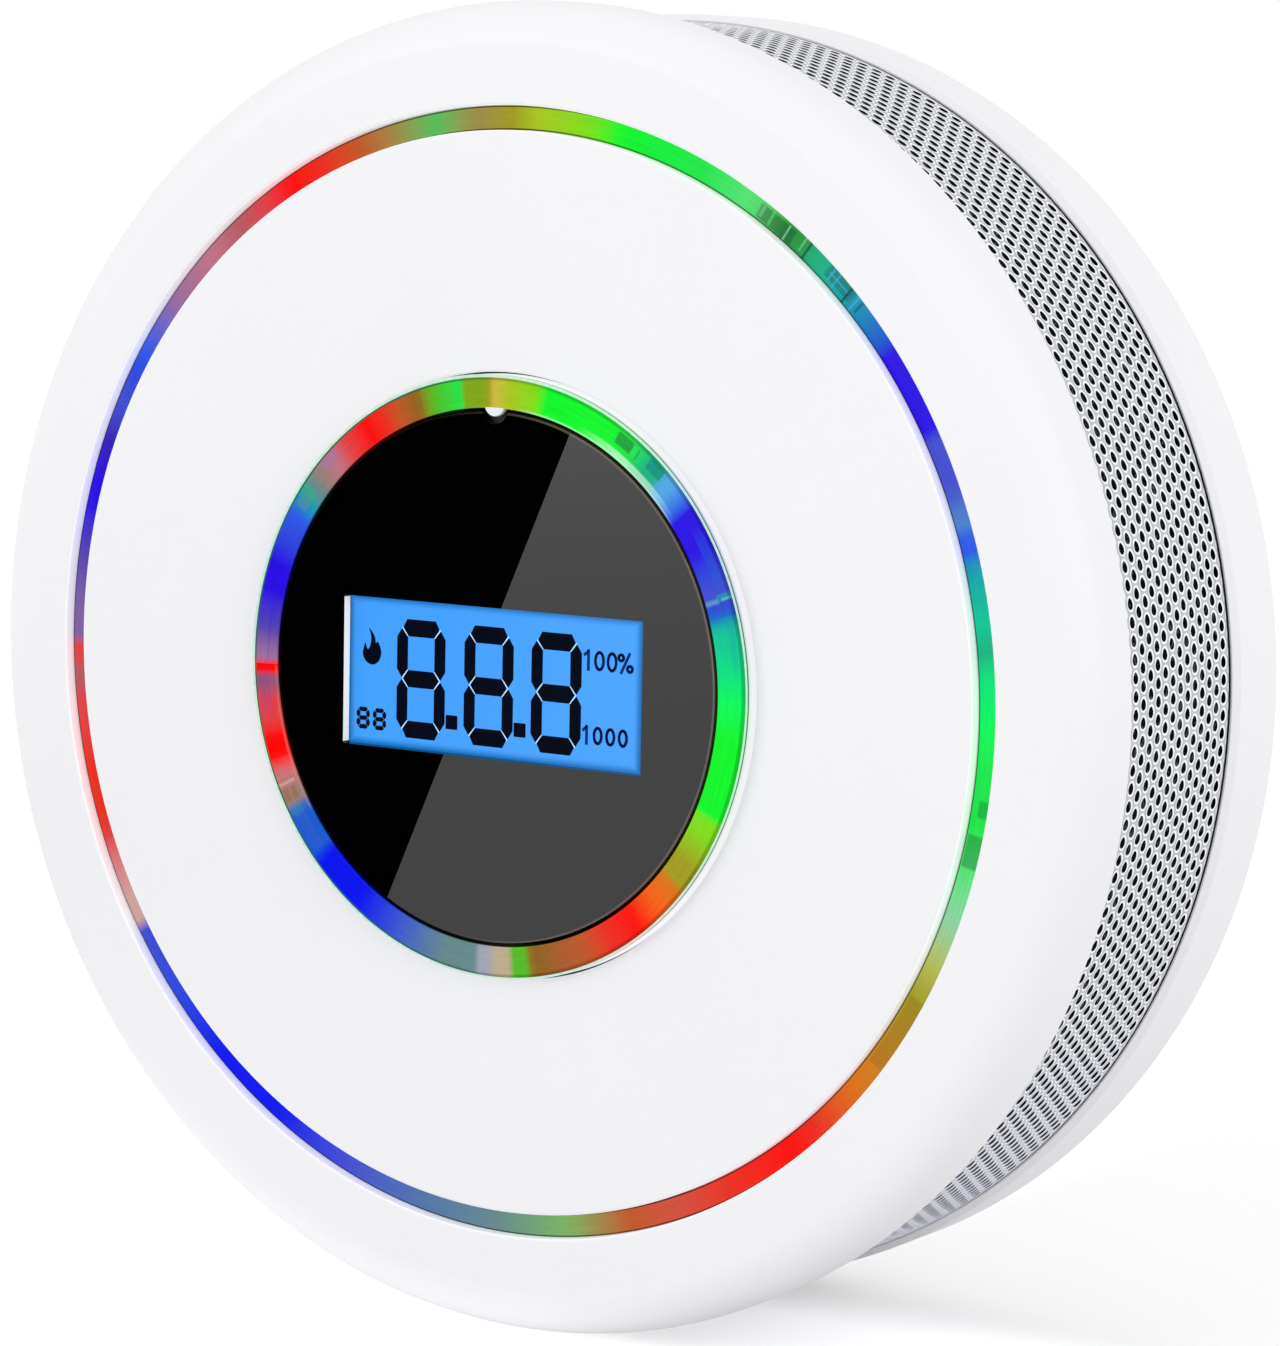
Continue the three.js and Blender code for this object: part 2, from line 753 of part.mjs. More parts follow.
/** A round bar along X, by its radius, length and middle. */
function sidewaysBar(radius, length, x, depth, z) {
  const geometry = new THREE.CylinderGeometry(radius, radius, length, pinFacets);
  geometry.rotateZ(Math.PI / 2);
  geometry.translate(x, -depth, z);
  return facingOut(geometry);
}

// Battery door: a plate with a hinge barrel and pins below and a latch tongue above

function batteryDoor() {
  const plate = block(
    doorWidth, doorTop - hingeZ, caseBack, hingeDepth, [0, (doorTop + hingeZ) / 2]);
  const barrel = sidewaysBar(barrelRadius, doorWidth, 0, hingeDepth, hingeZ);
  const pins = sidewaysBar(hingePinRadius, doorWidth + 2 * hingePinLength, 0, hingeDepth, hingeZ);
  const tongueTop = bayHeight + bayHalfHeight - latchGap;
  const tongue = block(
    latchWidth, latchThickness, hingeDepth - doorThickness / 2, hingeDepth + latchDepth,
    [0, tongueTop - latchThickness / 2]);
  const scoopZ = doorTop - scoopHeight;
  const scoop = slab(
    slotOutline(scoopHeight, scoopWidth, [0, scoopZ], false), caseBack - cutOverrun,
    caseBack + scoopDepth);
  return worked(plate, [barrel, pins, tongue], [scoop]);
}

// Battery cell with its spring and contact plates

function batteryCell() {
  const shoulder = cellLength - cellNubLength;
  const geometry = new THREE.LatheGeometry([
    [0, 0],
    [cellRadius - cellEdge, 0],
    [cellRadius, cellEdge],
    [cellRadius, shoulder - cellEdge],
    [cellRadius - cellEdge, shoulder],
    [cellNubRadius, shoulder],
    [cellNubRadius, cellLength],
    [0, cellLength],
  ].map(([radius, along]) => new THREE.Vector2(radius, along)), middleFacets);
  geometry.rotateZ(-Math.PI / 2);
  geometry.translate(cellTail, -cellDepth, bayHeight);
  return facingOut(geometry);
}

/** The centre line of the conical battery spring. */
class SpringPath extends THREE.Curve {
  getPoint(share, target = new THREE.Vector3()) {
    const turn = share * springTurns * 2 * Math.PI;
    const radius = springWide + (springNarrow - springWide) * share;
    const wire = springWire / 2;
    return target.set(
      springTail + wire + share * (springLength - springWire),
      radius * Math.cos(turn) - cellDepth,
      radius * Math.sin(turn) + bayHeight);
  }
}

function batterySpring() {
  const section = new THREE.Shape(arc(0, 0, springWire / 2, 0, 288, 4)
    .map(([x, y]) => new THREE.Vector2(x, y)));
  return facingOut(new THREE.ExtrudeGeometry(section, {
    steps: springTurns * stepsPerTurn,
    bevelEnabled: false,
    extrudePath: new SpringPath(),
  }));
}

function contactPlate(side) {
  const middle = side * (bayEnd - seatGap - plateThickness / 2);
  return block(
    plateThickness, plateWidth, cellDepth - plateWidth / 2, cellDepth + plateWidth / 2,
    [middle, bayHeight]);
}

// Screws: a head and a plain shank, the tip towards the face

const screwSeat = bossSplitDepth - caseScrewSeat;
const screwTip = screwSeat - seatGap + caseScrewLength;

function screw(headRadius, headDepth, radius, seat, tip, place) {
  return turned([
    [0, seat - headDepth],
    [headRadius, seat - headDepth],
    [headRadius, seat],
    [radius, seat],
    [radius, tip],
    [0, tip],
  ], pinFacets, place);
}

function caseScrew(turn) {
  return screw(
    caseScrewHeadRadius, caseScrewHeadDepth, caseScrewRadius, screwSeat - seatGap, screwTip,
    around(bossCircle, turn));
}

function boardScrew(turn) {
  return screw(
    boardScrewHeadRadius, boardScrewHeadDepth, boardScrewRadius, boardRear - seatGap,
    boardFront + boardScrewBite, around(boardScrewCircle, turn));
}

// Main board with its lamps, chip and capacitor

function mainBoard() {
  const disc = bar(boardRadius, boardRear, boardFront, middleFacets);
  const holes = boardScrewTurns.map((turn) => bar(
    boardScrewRadius + seatGap, boardRear - cutOverrun, boardFront + cutOverrun, pinFacets,
    around(boardScrewCircle, turn)));
  return worked(disc, [], holes);
}

function lamp(circle, turn) {
  const geometry = new THREE.BoxGeometry(lampWidth, lampHeight, lampLength);
  geometry.translate(circle, -(boardFront + lampHeight / 2), 0);
  geometry.rotateY(-THREE.MathUtils.degToRad(turn));
  return facingOut(geometry);
}

function controllerChip() {
  return block(chipSide, chipSide, boardFront, boardFront + chipHeight, chipPlace);
}

function storageCapacitor() {
  return bar(capacitorRadius, boardRear - capacitorHeight, boardRear, smallFacets, capacitorPlace);
}

// Gas sensor: a rimmed can with a filter cap over its inlet

const sensorTop = boardRear - sensorHeight;

function gasSensor() {
  return turned([
    [0, sensorTop],
    [sensorRadius, sensorTop],
    [sensorRadius, boardRear - sensorRimHeight],
    [sensorRadius + sensorRim, boardRear - sensorRimHeight],
    [sensorRadius + sensorRim, boardRear],
    [0, boardRear],
  ], smallFacets, sensorPlace);
}

function gasFilterCap() {
  const front = sensorTop - seatGap;
  return washer(filterHoleRadius, sensorRadius, front - filterHeight, front, smallFacets, sensorPlace);
}

// Smoke chamber: a base with two cradles, a slotted cap, a lamp and a light sensor inside

const chamberBaseRear = boardRear - chamberBaseThickness;
const eyeDepth = chamberBaseRear - seatGap - eyeRadius;

/** A block on the chamber's base circle, turned towards the middle, cut square to the wall. */
function chamberBlock(turn, length, width, low, high) {
  const geometry = new THREE.BoxGeometry(length, high - low, width);
  geometry.translate(eyeCircle, -(low + high) / 2, 0);
  geometry.rotateY(-THREE.MathUtils.degToRad(turn));
  geometry.translate(chamberPlace[0], 0, chamberPlace[1]);
  return facingOut(geometry);
}

function chamberBase() {
  const plate = bar(chamberRadius, chamberBaseRear, boardRear, middleFacets, chamberPlace);
  const bite = chamberBaseThickness / 2;
  const cradles = eyeTurns.map((turn) =>
    chamberBlock(turn, eyeLength, cradleWidth + 2 * cradleWall, eyeDepth, chamberBaseRear + bite));
  const rooms = eyeTurns.map((turn) => chamberBlock(
    turn, eyeLength + 2 * cutOverrun, cradleWidth, eyeDepth - cutOverrun, chamberBaseRear));
  return worked(plate, cradles, rooms);
}

function chamberCap() {
  const front = chamberBaseRear - seatGap;
  const roof = front - chamberHeight;
  const inner = chamberCapRadius - chamberCapWall;
  const cup = turned([
    [0, roof],
    [chamberCapRadius, roof],
    [chamberCapRadius, front],
    [inner, front],
    [inner, roof + chamberCapRoof],
    [0, roof + chamberCapRoof],
  ], middleFacets, chamberPlace);
  const cuts = [];
  for (let slot = 0; slot < chamberSlots; slot += 1) {
    const turn = (slot * 360) / chamberSlots;
    const geometry = new THREE.BoxGeometry(
      chamberCapWall + 2 * cutOverrun, chamberHeight - 2 * chamberCapRoof, chamberSlotWidth);
    geometry.translate(chamberCapRadius - chamberCapWall / 2, -(front + roof) / 2, 0);
    geometry.rotateY(-THREE.MathUtils.degToRad(turn));
    geometry.translate(chamberPlace[0], 0, chamberPlace[1]);
    cuts.push(facingOut(geometry));
  }
  return worked(cup, [], cuts);
}

/** One of the two small round-nosed parts that look into the smoke chamber. */
function chamberEye(turn) {
  const nose = eyeRadius / 2;
  const geometry = new THREE.LatheGeometry([
    [0, 0],
    [eyeRadius, 0],
    [eyeRadius, eyeLength - nose],
    [eyeRadius - nose, eyeLength],
    [0, eyeLength],
  ].map(([radius, along]) => new THREE.Vector2(radius, along)), pinFacets);
  geometry.rotateZ(Math.PI / 2);
  geometry.translate(eyeCircle + eyeLength / 2, -eyeDepth, 0);
  geometry.rotateY(-THREE.MathUtils.degToRad(turn));
  geometry.translate(chamberPlace[0], 0, chamberPlace[1]);
  return facingOut(geometry);
}

// Sounder: a cup with a ledge for the disc and a round outlet in its roof

const sounderRoofRear = boardRear - sounderHeight;
const ledgeFront = sounderRoofRear + sounderRoof + sounderLedgeHeight;

function sounderHousing() {
  const bore = sounderRadius - sounderWall;
  const ledge = bore - sounderLedge;
  return turned(loop([
    [sounderHoleRadius, sounderRoofRear],
    [sounderRadius, sounderRoofRear],
    [sounderRadius, boardRear],
    [bore, boardRear],
    [bore, ledgeFront],
    [ledge, ledgeFront],
    [ledge, sounderRoofRear + sounderRoof],
    [sounderHoleRadius, sounderRoofRear + sounderRoof],
  ]), middleFacets, sounderPlace);
}

function sounderDisc() {
  const radius = sounderRadius - sounderWall - seatGap;
  const low = ledgeFront + seatGap;
  return bar(radius, low, low + sounderDiscThickness, middleFacets, sounderPlace);
}

// The whole alarm, piece by piece

piece("mounting_bracket", mountingBracket(), whitePlastic);
piece("rear_case", rearCase(), whitePlastic);
piece("front_bezel", frontBezel(), whitePlastic);
piece("face_disc", faceDisc(), whitePlastic);
piece("outer_light_ring", outerLightRing(), clearPlastic);
piece("inner_light_ring", innerLightRing(), clearPlastic);
piece("side_grille", sideGrille(), greyMesh);
piece("grille_cage", grilleCage(), blackPlastic);

piece("display_panel", displayPanel(), blackGloss);
piece("display_glass", displayGlass(), blueDisplay);
piece("display_backlight", displayBacklight(), whitePlastic);
piece("button_carrier", buttonCarrier(), blackPlastic);
piece("display_ribbon", displayRibbon(), amberFilm);
piece("ribbon_socket", ribbonSocket(), blackPlastic);
for (const [name, side] of [["left", -1], ["right", 1]]) {
  piece(`switch_body_${name}`, switchBody(side), blackPlastic);
  piece(`switch_plunger_${name}`, switchPlunger(side), whitePlastic);
}

piece("battery_door", batteryDoor(), whitePlastic);
piece("battery_cell", batteryCell(), cellWrap);
piece("battery_spring", batterySpring(), steel);
piece("contact_plate_negative", contactPlate(-1), steel);
piece("contact_plate_positive", contactPlate(1), steel);

piece("main_board", mainBoard(), boardGreen);
piece("controller_chip", controllerChip(), blackPlastic);
piece("storage_capacitor", storageCapacitor(), blackPlastic);
piece("gas_sensor", gasSensor(), steel);
piece("gas_filter_cap", gasFilterCap(), whitePlastic);
piece("smoke_chamber_base", chamberBase(), blackPlastic);
piece("smoke_chamber_cap", chamberCap(), blackPlastic);
piece("infrared_lamp", chamberEye(eyeTurns[0]), clearPlastic);
piece("photodiode", chamberEye(eyeTurns[1]), blackPlastic);
piece("sounder_housing", sounderHousing(), blackPlastic);
piece("sounder_disc", sounderDisc(), brass);

for (const [number, turn] of bossTurns.entries()) {
  piece(`case_screw_${number + 1}`, caseScrew(turn), steel);
}
for (const [number, turn] of boardScrewTurns.entries()) {
  piece(`board_screw_${number + 1}`, boardScrew(turn), steel);
}
for (let number = 0; number < lampsPerRing; number += 1) {
  const turn = lampTurn - (number * 360) / lampsPerRing;
  piece(`outer_lamp_${number + 1}`, lamp(outerLampCircle, turn), whitePlastic);
  piece(`inner_lamp_${number + 1}`, lamp(innerLampCircle, turn), whitePlastic);
}

export default alarm;
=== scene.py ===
"""Looks of a round battery alarm for smoke and carbon monoxide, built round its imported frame.

Frame: metres, X to the right, Z up, the face looks along -Y and the wall is the plane Y = 0.
Sizes are written in millimetres. Most pieces are turned or cut square to the wall, so a place in
depth is a distance from the wall towards the viewer, and a point in the face plane is (x, z).
"""

import functools
import logging
import math
from dataclasses import dataclass, field
from enum import Enum
from typing import Any, Iterable, Sequence

import bmesh
import bpy
from mathutils import Matrix, Vector


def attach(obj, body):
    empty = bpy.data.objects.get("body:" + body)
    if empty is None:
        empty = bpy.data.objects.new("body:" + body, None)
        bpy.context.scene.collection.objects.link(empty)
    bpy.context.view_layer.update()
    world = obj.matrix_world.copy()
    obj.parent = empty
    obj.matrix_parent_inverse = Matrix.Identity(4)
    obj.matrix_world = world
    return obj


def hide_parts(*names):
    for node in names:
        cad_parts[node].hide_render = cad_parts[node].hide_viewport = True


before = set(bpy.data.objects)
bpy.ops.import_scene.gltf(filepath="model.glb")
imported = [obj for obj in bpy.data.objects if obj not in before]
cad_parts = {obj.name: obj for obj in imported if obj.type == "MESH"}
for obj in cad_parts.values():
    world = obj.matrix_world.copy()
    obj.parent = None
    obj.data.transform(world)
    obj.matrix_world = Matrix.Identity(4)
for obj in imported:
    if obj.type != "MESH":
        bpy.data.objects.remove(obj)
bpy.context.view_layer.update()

MILLIMETRE = 0.001
FULL_TURN = 360.0
RAMP_STOPS = 32
EDGE_STEPS = 8
WHITE = (1.0, 1.0, 1.0, 1.0)

Colour = tuple[float, float, float, float]
Point = tuple[float, float]
Outline = list[Point]
Place = tuple[float, float, float]

log = logging.getLogger("alarm")


# Colours

def paint(code: str) -> Colour:
    """A colour for the shaders from its screen code.

    Args:
        code: Six hexadecimal digits, red, green and blue.

    Returns:
        The colour in linear light, with full cover.
    """
    channels = [int(code[start:start + 2], 16) / 255 for start in (0, 2, 4)]
    linear = [c / 12.92 if c <= 0.04045 else ((c + 0.055) / 1.055) ** 2.4 for c in channels]
    return (linear[0], linear[1], linear[2], 1.0)


def dimmed(colour: Colour, share: float) -> Colour:
    """A colour with less light."""
    return (colour[0] * share, colour[1] * share, colour[2] * share, colour[3])


class Glow(Enum):
    """Colours that the light rings show between their lamps."""

    RED = paint("fb0706")
    SCARLET = paint("e63022")
    CHERRY = paint("de4143")
    BRICK = paint("cf5040")
    RUST = paint("bd5729")
    ROSE = paint("d37477")
    BLUSH = paint("c8a19b")
    PLUM = paint("bd7384")
    TERRA = paint("b45a63")
    WINE = paint("9b5372")
    TAUPE = paint("997c75")
    SAND = paint("bca98b")
    FLAME = paint("f26018")
    ORANGE = paint("d6741a")
    CHESTNUT = paint("a95a30")
    BRONZE = paint("8e6222")
    SAGE = paint("9b874b")
    AMBER = paint("cab644")
    STRAW = paint("b2b857")
    OLIVE = paint("9f9a22")
    PEAR = paint("a6c423")
    FIELD = paint("7ea51b")
    LIME = paint("80d91c")
    GRASS = paint("55b824")
    MOSS = paint("79b060")
    LEAF = paint("53bc5b")
    GREEN = paint("10f22c")
    FERN = paint("1ee24a")
    EMERALD = paint("06e07c")
    SPRING = paint("0af45c")
    MINT = paint("56df76")
    PALE = paint("8ccfa4")
    PINE = paint("25913e")
    JADE = paint("10c595")
    SEA = paint("1cb080")
    TEAL = paint("0f8a7c")
    CYAN = paint("159aa8")
    ASH = paint("66878a")
    CLOUD = paint("9da1b2")
    STEEL = paint("5272aa")
    SKY = paint("51a6e3")
    DENIM = paint("5088c2")
    AZURE = paint("1e58cc")
    COBALT = paint("3058e4")
    ROYAL = paint("3048d8")
    SLATE = paint("444ecc")
    IRIS = paint("6062cf")
    BLUE = paint("0c15ec")
    INDIGO = paint("2a0fe0")
    VIOLET = paint("3a21b5")
    PURPLE = paint("5444ae")
    HEATHER = paint("7d619e")
    MAUVE = paint("9a76a8")
    LILAC = paint("966c98")
    # The last four are painted marks: a painted highlight (also the tint of pale streaks), the painted
    # pale glow of the inner ring's outer wall, a painted shade line and painted shadows of parts.
    GLINT = paint("d8fbe8")
    WALL_GLOW = paint("eeeef2")
    SHADE_LINE = paint("2f6350")
    SHADOW = paint("0a3a2c")


# Outlines in the face plane and turned profiles

def around(radius: float, turn: float) -> Point:
    """A point at a radius and a turn in degrees, anticlockwise from +X."""
    angle = math.radians(turn)
    return (radius * math.cos(angle), radius * math.sin(angle))


def arc(centre: Point, radius: float, start: float, stop: float, steps: int) -> Outline:
    """Points of an arc, both ends included.

    Args:
        centre: Middle of the arc.
        radius: Its radius.
        start: First turn in degrees.
        stop: Last turn in degrees.
        steps: Number of straight steps between the ends.

    Returns:
        The points in order.
    """
    turns = [start + (stop - start) * step / steps for step in range(steps + 1)]
    corners = [around(radius, turn) for turn in turns]
    return [(centre[0] + x, centre[1] + y) for x, y in corners]


def rounded_outline(width: float, height: float, corner: float, place: Point = (0.0, 0.0),
                    steps: int = 6) -> Outline:
    """The outline of a rectangle with round corners.

    Args:
        width: Size along X.
        height: Size along Z.
        corner: Corner radius.
        place: Middle of the rectangle.
        steps: Straight steps of each corner.

    Returns:
        The outline, anticlockwise.
    """
    x, z = width / 2 - corner, height / 2 - corner
    corners = [(x, z, 0), (-x, z, 90), (-x, -z, 180), (x, -z, 270)]
    return [point for cx, cz, turn in corners
            for point in arc((place[0] + cx, place[1] + cz), corner, turn, turn + 90, steps)]


def slot_outline(width: float, length: float, place: Point, upright: bool = False) -> Outline:
    """The outline of a slot with round ends.

    Args:
        width: Width across the slot.
        length: Length over both round ends.
        place: Middle of the slot.
        upright: True for a slot along Z, else it lies along X.

    Returns:
        The outline, anticlockwise.
    """
    reach = (length - width) / 2
    ends = [(0, reach, 0), (0, -reach, 180)] if upright else [(reach, 0, -90), (-reach, 0, 90)]
    return [point for x, z, turn in ends
            for point in arc((place[0] + x, place[1] + z), width / 2, turn, turn + 180, 16)]


def sector_outline(inner: float, outer: float, start: float, stop: float, steps: int = 12) -> Outline:
    """The outline of a piece of a ring.

    Args:
        inner: Inner radius.
        outer: Outer radius.
        start: First turn in degrees.
        stop: Last turn in degrees.
        steps: Straight steps of each arc.

    Returns:
        The outline, anticlockwise.
    """
    middle = (0.0, 0.0)
    return arc(middle, outer, start, stop, steps) + arc(middle, inner, stop, start, steps)


def smooth_outline(points: Sequence[Point], steps: int = 6) -> Outline:
    """A closed outline that passes smoothly through its points.

    Args:
        points: The points to pass through.
        steps: Straight steps between two points.

    Returns:
        The finer outline.
    """
    count = len(points)
    outline: Outline = []
    for index in range(count):
        a, b, c, d = (Vector(points[(index + shift) % count]) for shift in (-1, 0, 1, 2))
        for step in range(steps):
            t = step / steps
            place = 0.5 * (2 * b + (c - a) * t + (2 * a - 5 * b + 4 * c - d) * t ** 2
                           + (3 * b - a - 3 * c + d) * t ** 3)
            outline.append((place.x, place.y))
    return outline


# Meshes

class Solid:
    """A mesh in the making, in millimetres, that ends as a piece of the alarm."""

    def __init__(self, points: Iterable[Place], faces: Iterable[Sequence[int]]) -> None:
        """Make the mesh from (x, depth, z) points and faces, and turn its faces outwards.

        Args:
            points: The corners, each with its distance from the wall as the middle value.
            faces: Corner numbers of each face.
        """
        mesh = bpy.data.meshes.new("solid")
        mesh.from_pydata([(x, -depth, z) for x, depth, z in points], [], list(faces))
        work = bmesh.new()
        work.from_mesh(mesh)
        bmesh.ops.recalc_face_normals(work, faces=work.faces)
        work.to_mesh(mesh)
        work.free()
        self.body = bpy.data.objects.new("solid", mesh)
        bpy.context.scene.collection.objects.link(self.body)

    @classmethod
    def turned(cls, profile: Outline, facets: int = 288, place: Point = (0.0, 0.0)) -> "Solid":
        """A closed profile of (radius, depth) points turned about the depth axis.

        Args:
            profile: The profile. A point of radius zero lies on the axis.
            facets: Straight sides of a full turn.
            place: Where the axis stands in the face plane.

        Returns:
            The turned solid.
        """
        points: list[Place] = []
        rings: list[list[int]] = []
        for radius, depth in profile:
            count = facets if radius > 0 else 1
            rings.append(list(range(len(points), len(points) + count)))
            for step in range(count):
                x, z = around(radius, FULL_TURN * step / facets)
                points.append((place[0] + x, depth, place[1] + z))
        faces = []
        for first, second in zip(rings, rings[1:] + rings[:1]):
            for step in range(facets):
                after = (step + 1) % facets
                corners = [first[step % len(first)], first[after % len(first)],
                           second[after % len(second)], second[step % len(second)]]
                kept = list(dict.fromkeys(corners))
                if len(kept) > 2:
                    faces.append(kept)
        return cls(points, faces)

    @classmethod
    def slabs(cls, outlines: Iterable[Outline], low: float, high: float) -> "Solid":
        """Outlines in the face plane given a thickness from one depth to another.

        Args:
            outlines: The outlines, each of which becomes a closed shell.
            low: Depth of the rear faces.
            high: Depth of the front faces.

        Returns:
            One solid with all the shells.
        """
        points: list[Place] = []
        faces: list[list[int]] = []
        for outline in outlines:
            base, count = len(points), len(outline)
            points += [(x, low, z) for x, z in outline] + [(x, high, z) for x, z in outline]
            faces.append([base + step for step in range(count)])
            faces.append([base + count + step for step in reversed(range(count))])
            for step in range(count):
                after = (step + 1) % count
                faces.append([base + step, base + after, base + count + after, base + count + step])
        return cls(points, faces)

    @classmethod
    def slab(cls, outline: Outline, low: float, high: float) -> "Solid":
        """One outline given a thickness from one depth to another."""
        return cls.slabs([outline], low, high)

    @classmethod
    def block(cls, width: float, height: float, low: float, high: float,
              place: Point = (0.0, 0.0)) -> "Solid":
        """A square-cornered block.

        Args:
            width: Size along X.
            height: Size along Z.
            low: Depth of its rear face.
            high: Depth of its front face.
            place: Its middle in the face plane.

        Returns:
            The block.
        """
        x, z = width / 2, height / 2
        corners = [(x, z), (-x, z), (-x, -z), (x, -z)]
        return cls.slab([(place[0] + px, place[1] + pz) for px, pz in corners], low, high)

    @classmethod
    def bar(cls, radius: float, low: float, high: float, place: Point = (0.0, 0.0),
            facets: int = 48) -> "Solid":
        """A round bar along the depth axis."""
        return cls.turned([(0, low), (radius, low), (radius, high), (0, high)], facets, place)

    def laid_along_x(self, place: Place) -> "Solid":
        """Turn a solid that was made along the depth axis to lie along X, and put it in place.

        Args:
            place: Where its origin goes, as (x, depth, z).

        Returns:
            The same solid.
        """
        turn = Matrix(((0, -1, 0, place[0]), (1, 0, 0, -place[1]), (0, 0, 1, place[2]), (0, 0, 0, 1)))
        self.body.data.transform(turn)
        return self

    def _settle(self) -> None:
        """Turn the modifiers into the mesh itself."""
        graph = bpy.context.evaluated_depsgraph_get()
        mesh = bpy.data.meshes.new_from_object(self.body.evaluated_get(graph))
        self.body.modifiers.clear()
        self.body.data = mesh

    def worked(self, joined: Iterable["Solid"] = (), cut: Iterable["Solid"] = ()) -> "Solid":
        """Join other solids to this one and then cut others out of it.

        Args:
            joined: Solids that become part of this one.
            cut: Solids whose space is taken away.

        Returns:
            The same solid.
        """
        for operation, others in (("UNION", list(joined)), ("DIFFERENCE", list(cut))):
            for other in others:
                modifier = self.body.modifiers.new(operation, "BOOLEAN")
                modifier.operation = operation
                modifier.solver = "EXACT"
                modifier.object = other.body
                self._settle()
                bpy.data.objects.remove(other.body)
        return self

    def softened(self, width: float, segments: int = 2, angle: float = 40.0) -> "Solid":
        """Round the sharp edges.

        Args:
            width: Width of the rounding.
            segments: Steps across it.
            angle: Edges that turn more than this, in degrees, are rounded.

        Returns:
            The same solid.
        """
        modifier = self.body.modifiers.new("edge", "BEVEL")
        modifier.width = width
        modifier.segments = segments
        modifier.limit_method = "ANGLE"
        modifier.angle_limit = math.radians(angle)
        self._settle()
        return self

    def _shade(self, crease: float) -> None:
        """Shade smoothly between creases, so that broad flat faces stay flat.

        Args:
            crease: Edges that turn more than this, in degrees, stay sharp.
        """
        self.body.data.shade_smooth()
        self.body.data.set_sharp_from_angle(angle=math.radians(crease))
        modifier = self.body.modifiers.new("flat faces lead", "WEIGHTED_NORMAL")
        modifier.keep_sharp = True
        modifier.weight = 100
        self._settle()

    def piece(self, name: str, body: str, finish: "Finish", slot: str, *nodes: str,
              crease: float = 32.0) -> bpy.types.Object:
        """Finish the solid as a named piece of the alarm, in metres.

        Args:
            name: The piece's name.
            body: The moving body that it rides on.
            finish: Its finish.
            slot: The record's material slot; not used.
            nodes: Frame nodes that it stands for.
            crease: Edges that turn more than this, in degrees, stay sharp.

        Returns:
            The finished object.
        """
        self.body.data.transform(Matrix.Scale(MILLIMETRE, 4))
        self._shade(crease)
        self.body.name = name
        mesh = self.body.data
        mesh.name = name
        mesh.materials.clear()
        mesh.materials.append(made(finish))
        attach(self.body, body)
        if nodes:
            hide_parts(*nodes)
        log.info("%s rides on %s with %d faces", name, body, len(mesh.polygons))
        return self.body


# Materials

class Value:
    """A socket that takes part in arithmetic, which adds the Math nodes."""

    def __init__(self, recipe: "Recipe", socket: bpy.types.NodeSocket) -> None:
        """Keep the recipe and the socket."""
        self.recipe = recipe
        self.socket = socket

    def __add__(self, other: "Number") -> "Value":
        """The sum."""
        return self.recipe.maths("ADD", self, other)

    __radd__ = __add__

    def __sub__(self, other: "Number") -> "Value":
        """The difference."""
        return self.recipe.maths("SUBTRACT", self, other)

    def __rsub__(self, other: "Number") -> "Value":
        """The difference the other way round."""
        return self.recipe.maths("SUBTRACT", other, self)

    def __mul__(self, other: "Number") -> "Value":
        """The product."""
        return self.recipe.maths("MULTIPLY", self, other)

    __rmul__ = __mul__

    def __truediv__(self, other: "Number") -> "Value":
        """The quotient."""
        return self.recipe.maths("DIVIDE", self, other)

    def __rtruediv__(self, other: "Number") -> "Value":
        """The quotient the other way round."""
        return self.recipe.maths("DIVIDE", other, self)

    def __pow__(self, other: "Number") -> "Value":
        """The power."""
        return self.recipe.maths("POWER", self, other)

    def least(self, other: "Number") -> "Value":
        """The smaller of the two."""
        return self.recipe.maths("MINIMUM", self, other)

    def most(self, other: "Number") -> "Value":
        """The larger of the two."""
        return self.recipe.maths("MAXIMUM", self, other)

    def size(self) -> "Value":
        """The value without its sign."""
        return self.recipe.maths("ABSOLUTE", self, 0.0)

    def part(self) -> "Value":
        """What is left above the whole number below."""
        return self.recipe.maths("FRACT", self, 0.0)

    def rise(self, low: float, high: float) -> "Value":
        """A soft step from 0 at one value to 1 at another."""
        return self.recipe.node("ShaderNodeMapRange", {"interpolation_type": "SMOOTHSTEP"},
                                {"Value": self, "From Min": low, "From Max": high})

    def within(self, low: float, high: float, soft: float) -> "Value":
        """A mask that is 1 between two values, with soft ends."""
        return self.rise(low - soft, low + soft) * (1 - self.rise(high - soft, high + soft))


Number = Value | float


